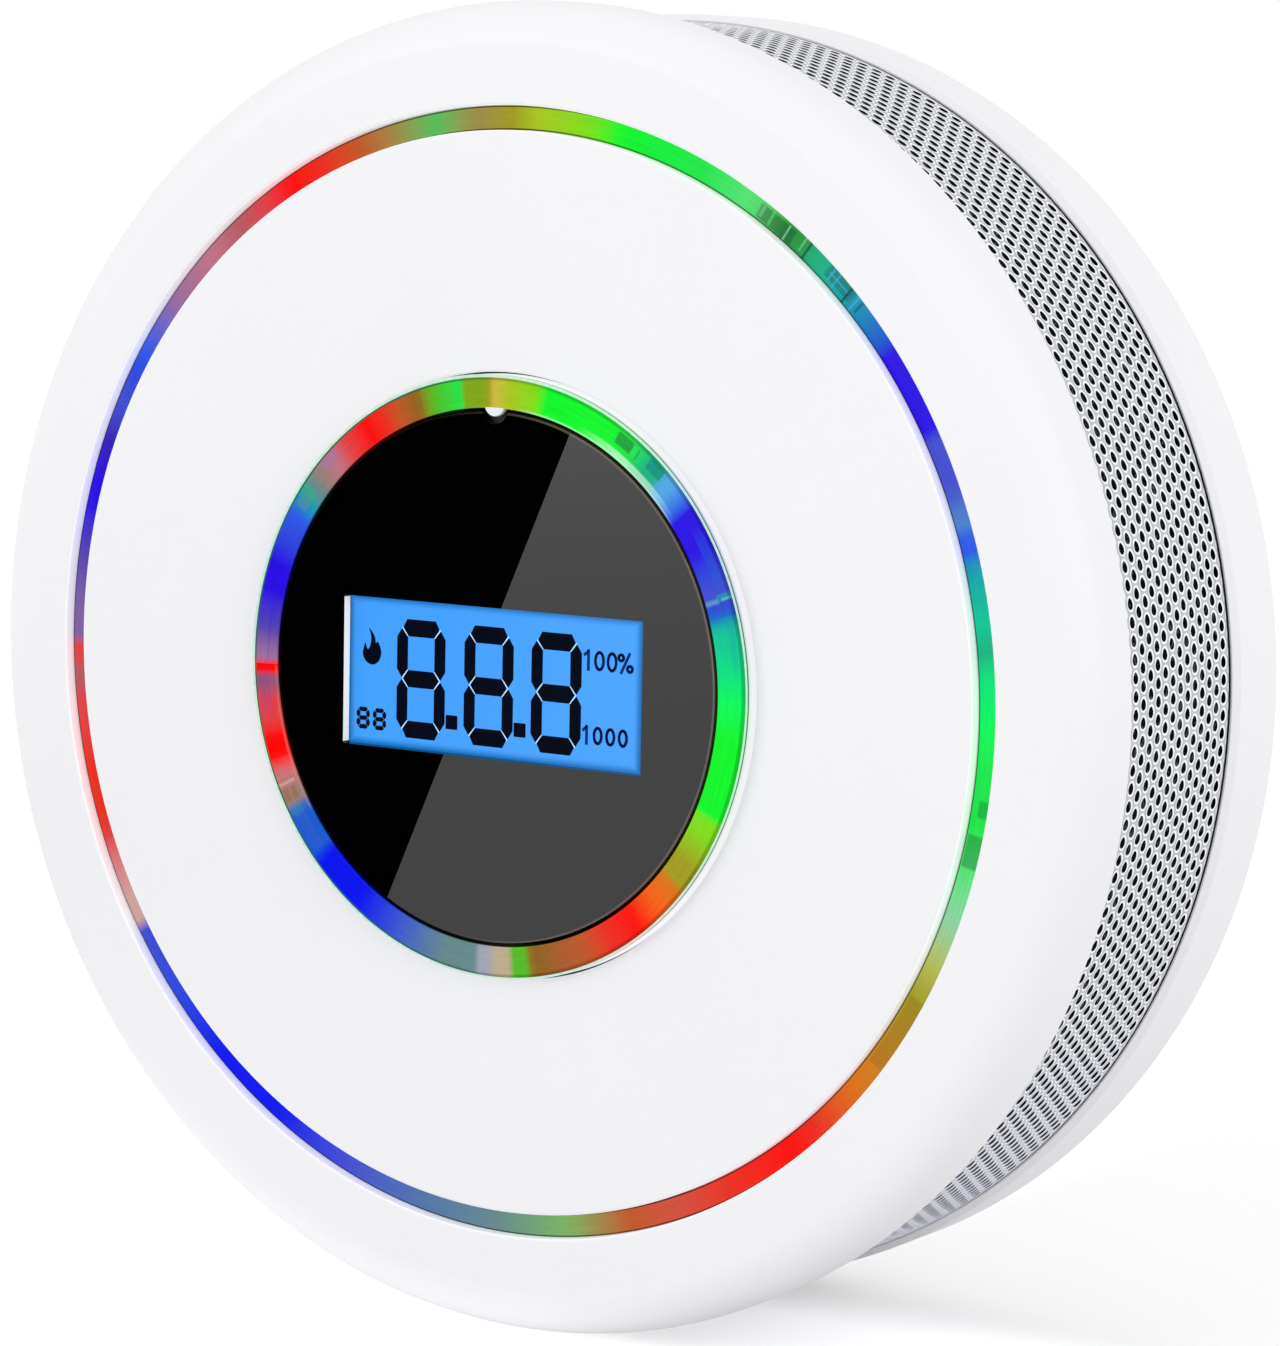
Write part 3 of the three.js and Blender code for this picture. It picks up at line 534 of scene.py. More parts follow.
class Recipe:
    """The node tree of a material or world, with a plain way to add and link its nodes."""

    def __init__(self, owner: str | bpy.types.World) -> None:
        """Start an empty tree.

        Args:
            owner: Name of a new material, or the world that the tree belongs to.
        """
        self.owner = bpy.data.materials.new(owner) if isinstance(owner, str) else owner
        self.owner.use_nodes = True
        self.tree = self.owner.node_tree
        self.tree.nodes.clear()

    def add(self, kind: str, settings: dict[str, Any] | None = None,
            sockets: dict[str | int, Any] | None = None) -> bpy.types.Node:
        """Add a node.

        Args:
            kind: The node's type.
            settings: Its settings, which are set first. Stops are a ramp's places and colours.
            sockets: Values or links of its input sockets, by name or number.

        Returns:
            The node.
        """
        node = self.tree.nodes.new(kind)
        for key, setting in (settings or {}).items():
            if key == "stops":
                self._set_stops(node.color_ramp, setting)
            else:
                setattr(node, key, setting)
        for key, value in (sockets or {}).items():
            if isinstance(value, Value):
                self.tree.links.new(value.socket, node.inputs[key])
            else:
                node.inputs[key].default_value = value
        return node

    def node(self, kind: str, settings: dict[str, Any] | None = None,
             sockets: dict[str | int, Any] | None = None, output: int | str = 0) -> Value:
        """Add a node and take one of its outputs as a value."""
        return Value(self, self.add(kind, settings, sockets).outputs[output])

    def values(self, node: bpy.types.Node, names: Iterable[str]) -> list[Value]:
        """Several outputs of a node as values."""
        return [Value(self, node.outputs[name]) for name in names]

    @staticmethod
    def _set_stops(ramp: bpy.types.ColorRamp, stops: Sequence[tuple[float, Colour]]) -> None:
        """Give a ramp its stops.

        Args:
            ramp: The ramp.
            stops: Places from 0 to 1 and colours, in order.
        """
        while len(ramp.elements) < len(stops):
            ramp.elements.new(1.0)
        for element, (place, colour) in zip(ramp.elements, stops):
            element.position = place
            element.color = colour

    def maths(self, operation: str, first: Number, second: Number) -> Value:
        """A Math node of two values."""
        return self.node("ShaderNodeMath", {"operation": operation}, {0: first, 1: second})

    def mixed(self, share: Number, first: Value | Colour, second: Value | Colour) -> Value:
        """Two colours mixed by a share of the second."""
        return self.node("ShaderNodeMix", {"data_type": "RGBA"}, {0: share, 6: first, 7: second}, 2)

    def lit(self, colour: Value | Colour, amount: Number) -> Value:
        """A colour made brighter or darker by an amount that varies over the surface."""
        return self.node("ShaderNodeVectorMath", {"operation": "SCALE"}, {
            0: colour if isinstance(colour, Value) else colour[:3], "Scale": amount})

    def position(self) -> Value:
        """The place on the piece, in metres."""
        return self.node("ShaderNodeTexCoord", output="Object")

    def axes(self) -> tuple[Value, Value, Value]:
        """The place on the piece as x, distance from the wall and z, in millimetres."""
        x, y, z = self.values(self.add("ShaderNodeSeparateXYZ", sockets={0: self.position()}), "XYZ")
        return x / MILLIMETRE, y / -MILLIMETRE, z / MILLIMETRE

    def polar(self) -> tuple[Value, Value]:
        """Radius in millimetres and share of a turn, clockwise from the top."""
        x, _, z = self.axes()
        return (x * x + z * z) ** 0.5, (self.maths("ARCTAN2", x, z) / (2 * math.pi)).part()

    def noise(self, size: float, stretch: Place = (1.0, 1.0, 1.0), detail: float = 2.0,
              place: Value | None = None) -> Value:
        """Noise from 0 to 1 with spots of a size in millimetres.

        Args:
            size: Size of the spots.
            stretch: How often the spots repeat along each axis, against the size.
            detail: Number of finer layers.
            place: Where the noise is read, or the place on the piece.

        Returns:
            The noise.
        """
        scaled = self.node("ShaderNodeVectorMath", {"operation": "MULTIPLY"},
                           {0: place or self.position(), 1: stretch})
        return self.node("ShaderNodeTexNoise", sockets={
            "Vector": scaled, "Scale": 1 / (size * MILLIMETRE), "Detail": detail})

    def run(self, turn: Value, stops: Sequence[tuple[float, Colour]]) -> Value:
        """Colours that follow one another, with as many ramps as they need.

        Args:
            turn: Share of a turn.
            stops: Degrees and colours, in order.

        Returns:
            The colour at the turn.
        """
        places = [(degrees / FULL_TURN, colour) for degrees, colour in stops]
        chain: Value | None = None
        for first in range(0, len(places) - 1, RAMP_STOPS - 1):
            part = places[first:first + RAMP_STOPS]
            ramp = self.node("ShaderNodeValToRGB", {"stops": part}, {"Fac": turn})
            if chain is None:
                chain = ramp
            else:
                chain = self.mixed(self.maths("GREATER_THAN", turn, part[0][0]), chain, ramp)
        return chain

    def relief(self, height: Value, depth: float) -> Value:
        """A bump of a depth in millimetres."""
        return self.node("ShaderNodeBump", sockets={
            "Height": height, "Distance": depth * MILLIMETRE, "Strength": 1.0})

    def finish(self, sockets: dict[str, Any]) -> bpy.types.Material:
        """End the recipe with one surface of these values and links."""
        return self.ended(self.node("ShaderNodeBsdfPrincipled", sockets=sockets))

    def ended(self, surface: Value,
              kind: str = "ShaderNodeOutputMaterial") -> bpy.types.Material | bpy.types.World:
        """Link a shader to an output of a kind, and hand back what the tree belongs to."""
        self.add(kind, sockets={"Surface": surface})
        return self.owner


@dataclass(frozen=True)
class Finish:
    """A finish by name. Each kind builds its own material."""

    name: str

    def build(self) -> bpy.types.Material:
        """Make the material."""
        raise NotImplementedError


@functools.cache
def made(finish: Finish) -> bpy.types.Material:
    """The material of a finish, built once."""
    return finish.build()


@dataclass(frozen=True)
class MouldedPlastic(Finish):
    """Moulded plastic: a fine eroded grain, slow waves and a gloss that drifts a little.
    Where set, it also glows: evenly, with painted light spilled from the outer light ring onto a
    band of radius, and with a painted floor bounce on the lower left of its outer rim.
    """

    tint: Colour = paint("f1f1f4")
    roughness: float = 0.42
    grain: float = 0.22
    grain_depth: float = 0.0035
    mottle: float = 0.025
    wave: float = 26.0
    specular: float = 0.5
    # lit: an even glow over the whole surface; on the window strip it is painted light, on the display
    # seams the backlight showing between the segments.
    lit: float = 0.0
    # band: radii that glow with painted light spilled from the outer light ring.
    band: Point = (0.0, 0.0)
    band_soft: float = 0.04
    painted_ring_spill: float = 0.0
    # foot: where the outer rim glows with a painted floor bounce, by radius, by how far it faces down
    # and towards the left.
    foot: Point = (48.2, 51.6)
    foot_drop: Point = (0.4, 0.98)
    foot_side: Point = (0.0, 0.45)
    painted_floor_bounce: float = 0.0

    def build(self) -> bpy.types.Material:
        """Make the material.

        Returns:
            The material.
        """
        recipe = Recipe(self.name)
        radius, _ = recipe.polar()
        x, _, z = recipe.axes()
        # Painted glow: even, spilled from the ring onto the band, and a painted floor bounce on the
        # lower left of the rim.
        floor_bounce_mask = (z / radius * -1).rise(*self.foot_drop) * (1 - (x / radius).rise(*self.foot_side))
        strength = (self.lit + radius.within(*self.band, self.band_soft) * self.painted_ring_spill
                    + radius.rise(*self.foot) * floor_bounce_mask * self.painted_floor_bounce)
        grain = recipe.noise(self.grain, detail=3.0)
        drift = recipe.noise(self.wave, detail=4.0)
        darker = dimmed(self.tint, 1 - 2 * self.mottle)
        return recipe.finish({
            "Base Color": recipe.mixed(drift * 0.7 + grain * 0.3, darker, self.tint),
            "Roughness": drift * 0.1 + grain * 0.05 + (self.roughness - 0.075),
            "Normal": recipe.relief(grain, self.grain_depth),
            "Specular IOR Level": self.specular,
            "Emission Color": recipe.lit(self.tint, (0.9 + 0.1 * drift) * strength),
            "Emission Strength": 1.0,
        })


@dataclass(frozen=True)
class PolishedLens(Finish):
    """Black polished plastic with the faintest hazing, and a painted highlight on the right side of its
    rim.
    """

    tint: Colour = paint("010101")
    haze_tint: Colour = paint("030303")
    rim_highlight_tint: Colour = paint("57493f")
    roughness: float = 0.006
    specular: float = 0.64
    rim: float = 20.8
    rim_width: float = 0.2

    def build(self) -> bpy.types.Material:
        """Make the material.

        Returns:
            The material.
        """
        recipe = Recipe(self.name)
        haze = recipe.noise(9.0, detail=5.0)
        specks = recipe.noise(0.35, detail=1.0)
        x, _, _ = recipe.axes()
        radius, _ = recipe.polar()
        # Painted highlight: a brownish line round the rim, on the right side only.
        edge = radius.rise(self.rim - self.rim_width, self.rim - self.rim_width / 2)
        edge = edge * (x / self.rim).rise(-0.3, 0.4)
        body = recipe.mixed(haze * 0.5, self.tint, self.haze_tint)
        return recipe.finish({
            "Base Color": recipe.mixed(edge, body, self.rim_highlight_tint),
            "Roughness": haze * 0.004 + specks * 0.003 + (self.roughness - 0.003),
            "Specular IOR Level": self.specular,
        })


@dataclass(frozen=True)
class Patch:
    """A streak of light, a part's shape or a painted shadow of a part that shows in a light ring, from
    share to share across.
    """

    start: float
    stop: float
    inner: float
    outer: float
    tint: Glow
    amount: float
    soft: float = 0.2


@dataclass(frozen=True)
class RingGlow(Finish):
    """A clear light guide lit from behind by lamps of several colours, with a painted highlight on
    its bevel, painted shade lines at its edges, and painted shade on its walls and below a depth.
    """

    inner: float
    outer: float
    top: float
    stops: tuple[tuple[float, Glow], ...]
    patches: tuple[Patch, ...]
    # rim_glint sets a painted highlight on the bevel, edge_shade painted shade near the outer edge, line
    # painted dark lines at both edges, glow_depth the depth below which painted shade falls.
    rim: float = 0.2
    rim_glint: float = 0.0
    edge_shade: float = 0.4
    line: float = 0.0
    line_width: float = 0.16
    halo_width: float = 0.6
    glow_depth: float = 1.8
    body_share: float = 0.025

    def build(self) -> bpy.types.Material:
        """Make the material.

        Returns:
            The material.
        """
        recipe = Recipe(self.name)
        radius, turn = recipe.polar()
        x, depth, _ = recipe.axes()
        across = (radius - self.inner) / (self.outer - self.inner)
        rim = self.rim / (self.outer - self.inner)
        along = recipe.node("ShaderNodeCombineXYZ", sockets={
            "X": turn * 0.09, "Y": across * 0.016, "Z": 0.0})
        streaks = recipe.noise(1.6, detail=4.0, place=along)
        specks = recipe.noise(0.5, detail=3.0)
        colour = recipe.run(turn, [(degrees, glow.value) for degrees, glow in self.stops])
        glow = recipe.lit(colour, 0.84 + 0.28 * streaks + 0.05 * specks)
        for patch in self.patches:
            soft = patch.soft / FULL_TURN
            mask = (turn.within(patch.start / FULL_TURN, patch.stop / FULL_TURN, soft)
                    * across.within(patch.inner, patch.outer, 0.03))
            glow = recipe.mixed(mask * patch.amount * (0.7 + 0.6 * streaks), glow, patch.tint.value)
        # Painted highlight on the bevel, reaching further in on the left; painted shade near the outer
        # edge and painted dark lines at both edges.
        lean = x / radius
        glint_start = 1 - rim * (1.15 - 0.75 * lean)
        edge = across.rise(1 - 2.6 * rim, 1 - 1.6 * rim)
        border = 1 - across.within(self.line, 1 - self.line, 0.02)
        glow = recipe.lit(glow, 1 - edge * self.edge_shade - border * 0.8)
        glint = recipe.maths("GREATER_THAN", across, glint_start) * self.rim_glint
        glow = recipe.mixed(glint * (0.55 + 0.5 * specks), glow, Glow.GLINT.value)
        # A painted shade line just inside the highlight, on the left side only.
        far_line = (glint_start - across).within(0.0, 0.7 * rim, 0.1 * rim) * self.rim_glint
        glow = recipe.mixed(far_line * (1 - lean.rise(-0.4, 0.1)), glow, Glow.SHADE_LINE.value)
        # The outer wall gets a painted pale glow, tinted by the ring's colour near the top, and a
        # painted shade line under the bevel; the inner wall and all below the glow depth get painted
        # shade.
        below = self.top - depth
        wall = below.rise(1.05 * self.rim, 1.1 * self.rim)
        line = wall * (1 - below.rise(self.rim + self.line_width, self.rim + 0.2))
        outer_wall = across.rise(0.9, 0.95) * self.rim_glint
        halo = 1 - below.rise(self.rim + 0.2, self.rim + self.halo_width)
        glow = recipe.mixed(outer_wall * wall, glow,
                            recipe.mixed(halo * 0.4, Glow.WALL_GLOW.value, colour))
        glow = recipe.mixed(outer_wall * line * 0.95, glow, Glow.SHADE_LINE.value)
        glow = recipe.lit(glow, 1 - wall * (1 - across.rise(0.05, 0.1)) * 0.97)
        glow = recipe.lit(glow, 1 - below.rise(self.glow_depth, self.glow_depth + 0.2) * 0.96)
        return recipe.finish({
            "Base Color": recipe.lit(glow, self.body_share),
            "Roughness": 0.12 + 0.1 * streaks,
            "Emission Color": glow,
            "Emission Strength": 1.0,
            "Specular IOR Level": 0.05,
        })


@dataclass(frozen=True)
class LitDisplay(Finish):
    """Liquid crystal glass lit from behind, darker and deeper blue towards its border: partly the
    backlight's fall-off and partly painted shade, which reaches further in on the right and is
    darker on the left.
    """

    place: Point
    width: float
    height: float
    painted_shade_shift: float = 0.6
    fade: Point = (-0.1, 0.74)
    tint: Colour = paint("42a0ff")
    border_tint: Colour = paint("0068b0")

    def build(self) -> bpy.types.Material:
        """Make the material.

        Returns:
            The material.
        """
        recipe = Recipe(self.name)
        x, _, z = recipe.axes()
        # Painted shade: the darker border reaches further in on the right, by the shift, and is darker
        # for 2 mm on the left.
        side = (self.width - self.painted_shade_shift) / 2 - (x - self.place[0] + self.painted_shade_shift / 2).size()
        end = self.height / 2 - (z - self.place[1]).size()
        inside = side.least(end).rise(*self.fade)
        left = (x - self.place[0]).rise(-self.width / 2 - 0.2, -self.width / 2 + 2.0)
        cloud = recipe.noise(14.0, detail=2.0)
        grain = recipe.noise(0.18, detail=1.0)
        blue = recipe.mixed(inside * (0.8 + 0.2 * left), self.border_tint, self.tint)
        glow = recipe.lit(blue, 0.96 + 0.06 * cloud + 0.02 * grain)
        return recipe.finish({
            "Base Color": recipe.lit(blue, 0.02 + 0.02 * cloud),
            "Roughness": 0.16 + 0.05 * grain,
            "Emission Color": glow,
            "Emission Strength": 1.0,
            "Specular IOR Level": 0.2,
        })


@dataclass(frozen=True)
class DisplayInk(Finish):
    """The dark state of the liquid crystal, a little lighter where it thins."""

    tint: Colour = paint("02040c")
    thin: Colour = paint("0a1430")

    def build(self) -> bpy.types.Material:
        """Make the material.

        Returns:
            The material.
        """
        recipe = Recipe(self.name)
        thin = recipe.noise(0.9, detail=3.0)
        return recipe.finish({
            "Base Color": recipe.mixed(thin * 0.4, self.tint, self.thin),
            "Roughness": 0.3 + 0.1 * thin,
            "Specular IOR Level": 0.02,
        })


@dataclass(frozen=True)
class ScreenCloth(Finish):
    """Dark woven cloth that shows through the grille, with paler specks that are painted highlights."""

    tint: Colour = paint("07080a")
    lit_speck_tint: Colour = paint("6a7076")
    weave: float = 0.55

    def build(self) -> bpy.types.Material:
        """Make the material.

        Returns:
            The material.
        """
        recipe = Recipe(self.name)
        lit_specks = recipe.noise(self.weave, detail=2.0)
        fuzz = recipe.noise(0.15, detail=3.0)
        return recipe.finish({
            # Paler specks: painted highlights seen through the holes.
            "Base Color": recipe.mixed(lit_specks.rise(0.54, 0.66), self.tint, self.lit_speck_tint),
            "Roughness": 0.75 + 0.2 * fuzz,
            "Normal": recipe.relief(fuzz, 0.03),
            "Specular IOR Level": 0.1,
        })


@dataclass(frozen=True)
class PressedMesh(Finish):
    """Painted pressed sheet: grey strands with a raised burr round each oval hole, paler in colour
    as a painted highlight, and a bluer painted shade tint towards the underside.
    """

    crest: float
    start: float
    pitch: float
    holes_around: int
    hole_length: float
    hole_width: float
    tint: Colour = paint("bec3c9")
    # The burr colour is a painted highlight; the two underside tints are painted shade.
    burr_highlight: Colour = paint("f8f9fb")
    underside_shade_tint: Colour = paint("c6cade")
    underside_highlight_tint: Colour = paint("f6f6ff")
    low: Point = (0.3, 0.8)
    burr_reach: Point = (0.8, 1.42)

    def build(self) -> bpy.types.Material:
        """Make the material.

        Returns:
            The material.
        """
        recipe = Recipe(self.name)
        radius, turn = recipe.polar()
        _, depth, z = recipe.axes()
        # Painted shade: a bluer tint where the band faces down.
        low = (z / radius * -1).rise(*self.low)
        row = (depth - self.start) / self.pitch
        odd = recipe.maths("GREATER_THAN", (row / 2).part(), 0.5)
        cell = (0.25 - turn) * self.holes_around - odd / 2
        spacing = 2 * math.pi * self.crest / self.holes_around
        along = (cell.part() - 0.5) * (2 * spacing / self.hole_length)
        beside = (row.part() - 0.5) * (2 * self.pitch / self.hole_width)
        away = (along * along + beside * beside) ** 0.5
        # The burr is raised in the bump, and paler as a painted highlight.
        burr_highlight = away.within(*self.burr_reach, 0.08)
        grain = recipe.noise(0.12, detail=3.0)
        patch = recipe.noise(2.4, detail=4.0)
        worn = recipe.lit(self.tint, 0.7 + 0.3 * patch + 0.2 * grain)
        return recipe.finish({
            "Base Color": recipe.mixed(burr_highlight, recipe.mixed(low, worn, self.underside_shade_tint),
                                       recipe.mixed(low, self.burr_highlight, self.underside_highlight_tint)),
            "Roughness": 0.36 + 0.14 * grain,
            "Metallic": 0.15 * patch,
            "Normal": recipe.relief(burr_highlight + grain * 0.15, 0.05),
        })


@dataclass(frozen=True)
class Metal(Finish):
    """Plated or rolled metal with fine drawn lines and faint staining."""

    tint: Colour = paint("c9cbcd")
    roughness: float = 0.3
    lines: Place = (1.0, 1.0, 12.0)
    stained: float = 0.72

    def build(self) -> bpy.types.Material:
        """Make the material.

        Returns:
            The material.
        """
        recipe = Recipe(self.name)
        drawn = recipe.noise(1.2, stretch=self.lines, detail=3.0)
        stain = recipe.noise(4.0, detail=5.0)
        return recipe.finish({
            "Base Color": recipe.mixed(stain * 0.6, self.tint, dimmed(self.tint, self.stained)),
            "Metallic": 1.0,
            "Roughness": 0.1 * drawn + 0.12 * stain + (self.roughness - 0.1),
            "Normal": recipe.relief(drawn, 0.004),
        })


@dataclass(frozen=True)
class CircuitBoard(Finish):
    """Green solder mask over copper tracks, with pale pads."""

    tint: Colour = paint("12572f")
    track: Colour = paint("1d7a45")
    pad: Colour = paint("cfc9b4")

    def build(self) -> bpy.types.Material:
        """Make the material.

        Returns:
            The material.
        """
        recipe = Recipe(self.name)
        x, _, z = recipe.axes()
        place = recipe.node("ShaderNodeCombineXYZ", sockets={"X": x, "Y": z, "Z": 0.0})
        tracks = recipe.node("ShaderNodeTexBrick", {"offset": 0.5}, {
            "Vector": place, "Color1": WHITE, "Color2": (0.55, 0.55, 0.55, 1.0),
            "Mortar": (0.0, 0.0, 0.0, 1.0), "Scale": 1.0, "Mortar Size": 0.16,
            "Brick Width": 5.2, "Row Height": 1.3})
        pads = recipe.node("ShaderNodeTexVoronoi", {"feature": "F1"}, {
            "Vector": place, "Scale": 0.32, "Randomness": 0.8})
        pad = 1 - pads.rise(0.16, 0.2)
        cloth = recipe.noise(0.6, stretch=(1.0, 1.0, 4.0), detail=2.0)
        masked = recipe.mixed(tracks, self.track, self.tint)
        return recipe.finish({
            "Base Color": recipe.mixed(pad, masked, self.pad),
            "Roughness": 0.34 + 0.16 * cloth,
            "Metallic": pad * 0.7,
            "Normal": recipe.relief(cloth, 0.01),
        })


@dataclass(frozen=True)
class CircuitFilm(Finish):
    """Amber film with copper lines that run along it."""

    tint: Colour = paint("b5702c")
    line: Colour = paint("8a4a1c")
    pitch: float = 0.8

    def build(self) -> bpy.types.Material:
        """Make the material.

        Returns:
            The material.
        """
        recipe = Recipe(self.name)
        x, _, _ = recipe.axes()
        line = (x / self.pitch).part().within(0.3, 0.7, 0.05)
        cloud = recipe.noise(2.0, detail=3.0)
        return recipe.finish({
            "Base Color": recipe.mixed(line, self.tint, self.line),
            "Roughness": 0.3 + 0.15 * cloud,
            "Normal": recipe.relief(line, 0.02),
        })


@dataclass(frozen=True)
class ShrinkWrap(Finish):
    """Plain shrink film round the cell: a coloured body with a pale band near one end."""

    tint: Colour = paint("2b6d86")
    band_tint: Colour = paint("d9dde0")
    band: Point = (12.0, 15.5)

    def build(self) -> bpy.types.Material:
        """Make the material.

        Returns:
            The material.
        """
        recipe = Recipe(self.name)
        x, _, _ = recipe.axes()
        band = x.within(*self.band, 0.05)
        creases = recipe.noise(1.4, stretch=(0.3, 1.0, 1.0), detail=4.0)
        return recipe.finish({
            "Base Color": recipe.mixed(band, self.tint, self.band_tint),
            "Roughness": 0.2 + 0.15 * creases,
            "Normal": recipe.relief(creases, 0.02),
        })


class Stock:
    """The finishes that the alarm is made in."""

    # The shell glows with painted light spilled from the outer ring onto its groove walls, and with a
    # painted floor bounce on the bezel's lower left rim.
    shell = MouldedPlastic("satin white shell", band=(42.44, 44.46), painted_ring_spill=0.26,
                           painted_floor_bounce=0.2)
    rear_shell = MouldedPlastic("satin white rear shell", roughness=0.46, grain_depth=0.005)
    black = MouldedPlastic("moulded black", paint("161719"), 0.55, 0.3, 0.008, 0.08, 12.0)
    # A dark ring in the gap behind the mesh, which keeps the gap dark.
    dark = MouldedPlastic("dark seal foam", paint("08090a"), 0.8, 0.16, 0.02, 0.1, 3.0, 0.1)
    resin = MouldedPlastic("chip resin", paint("1b1c1f"), 0.6, 0.1, 0.01, 0.06, 3.0)
    diffuser = MouldedPlastic("milky diffuser", paint("e8ecec"), 0.5, 0.4, 0.01, 0.02, 6.0)
    # The window strip glows with painted light, as if lit by the display.
    strip = MouldedPlastic("lit window strip", paint("ece8e0"), 0.5, 0.4, 0.01, 0.02, 6.0, lit=0.42)
    seams = MouldedPlastic("pale display seams", paint("9ccaf6"), 0.5, 0.2, 0.002, 0.03, 2.0,
                           lit=0.6)
    lens = PolishedLens("polished black lens")
    steel = Metal("plated steel")
    spring_steel = Metal("spring steel", paint("b4b6b8"), 0.26, (8.0, 1.0, 1.0))
    brass = Metal("rolled brass", paint("cba45a"), 0.3)
    board = CircuitBoard("solder mask")
    film = CircuitFilm("amber circuit film")
    wrap = ShrinkWrap("plain shrink wrap")
    ink = DisplayInk("display ink")
    thin_ink = DisplayInk("thin display ink", paint("08306e"), paint("0a3c86"))
    cloth = ScreenCloth("dust screen cloth")


# Shared sizes

@dataclass(frozen=True)
class Layout:
    """Sizes in millimetres that several sub-assemblies share."""

    radius: float = 52.5
    depth: float = 33.6
    bracket: float = 2.1
    seat_gap: float = 0.3
    lens_gap: float = 0.15
    overrun: float = 1.0
    ring_proud: float = 1.1
    bezel_side: float = 6.05
    grille_length: float = 18.0
    back_wall: float = 2.0
    groove_outer: float = 44.4
    groove_inner: float = 42.5
    groove_edge: float = 0.2
    ring_outer: float = 23.7
    ring_inner: float = 21.1
    key_radius: float = 0.95
    skirt_drop: float = 3.3
    skirt_wall: float = 1.8
    face_wall: float = 2.0
    flange: float = 1.2
    boss_circle: float = 47.2
    boss_radius: float = 2.6
    boss_split: float = 15.6
    boss_turns: tuple[float, ...] = (30.0, 150.0, 270.0)
    screw_radius: float = 1.15
    screw_length: float = 13.3
    screw_seat: float = 4.0
    board_behind_face: float = 9.5
    board: float = 1.6
    bracket_opening: float = 42.0
    bracket_outer: float = 48.6
    bridge_drop: float = 4.5
    hook_inset: float = 1.0
    hook_thickness: float = 1.8
    hook_turns: tuple[float, ...] = (90.0, 210.0, 330.0)
    hook_stem_turn: float = 5.0
    hook_head_turn: float = 12.0

    @property
    def case_back(self) -> float:
        """Depth of the rear case's back."""
        return self.bracket + self.seat_gap

    @property
    def case_inside(self) -> float:
        """Depth of the rear case's floor."""
        return self.case_back + self.back_wall

    @property
    def ring_top(self) -> float:
        """Depth of the inner light ring's front."""
        return self.case_back + self.depth

    @property
    def face(self) -> float:
        """Depth of the front face."""
        return self.ring_top - self.ring_proud

    @property
    def bezel_rear(self) -> float:
        """Depth of the bezel's rear edge."""
        return self.face - self.bezel_side

    @property
    def case_front(self) -> float:
        """Depth of the rear case's front edge."""
        return self.bezel_rear - self.grille_length

    @property
    def skirt_end(self) -> float:
        """Depth where the skirts at the light groove end."""
        return self.face - self.skirt_drop

    @property
    def flange_front(self) -> float:
        """Depth of the front of the light rings' flanges."""
        return self.skirt_end - self.seat_gap

    @property
    def flange_rear(self) -> float:
        """Depth of the rear of the light rings' flanges."""
        return self.flange_front - self.flange

    @property
    def board_front(self) -> float:
        """Depth of the main board's front."""
        return self.face - self.board_behind_face

    @property
    def board_rear(self) -> float:
        """Depth of the main board's rear."""
        return self.board_front - self.board

    @property
    def split(self) -> float:
        """Depth where the screw bosses of bezel and case meet."""
        return self.case_back + self.boss_split


LAYOUT = Layout()


# Front: bezel and face disc

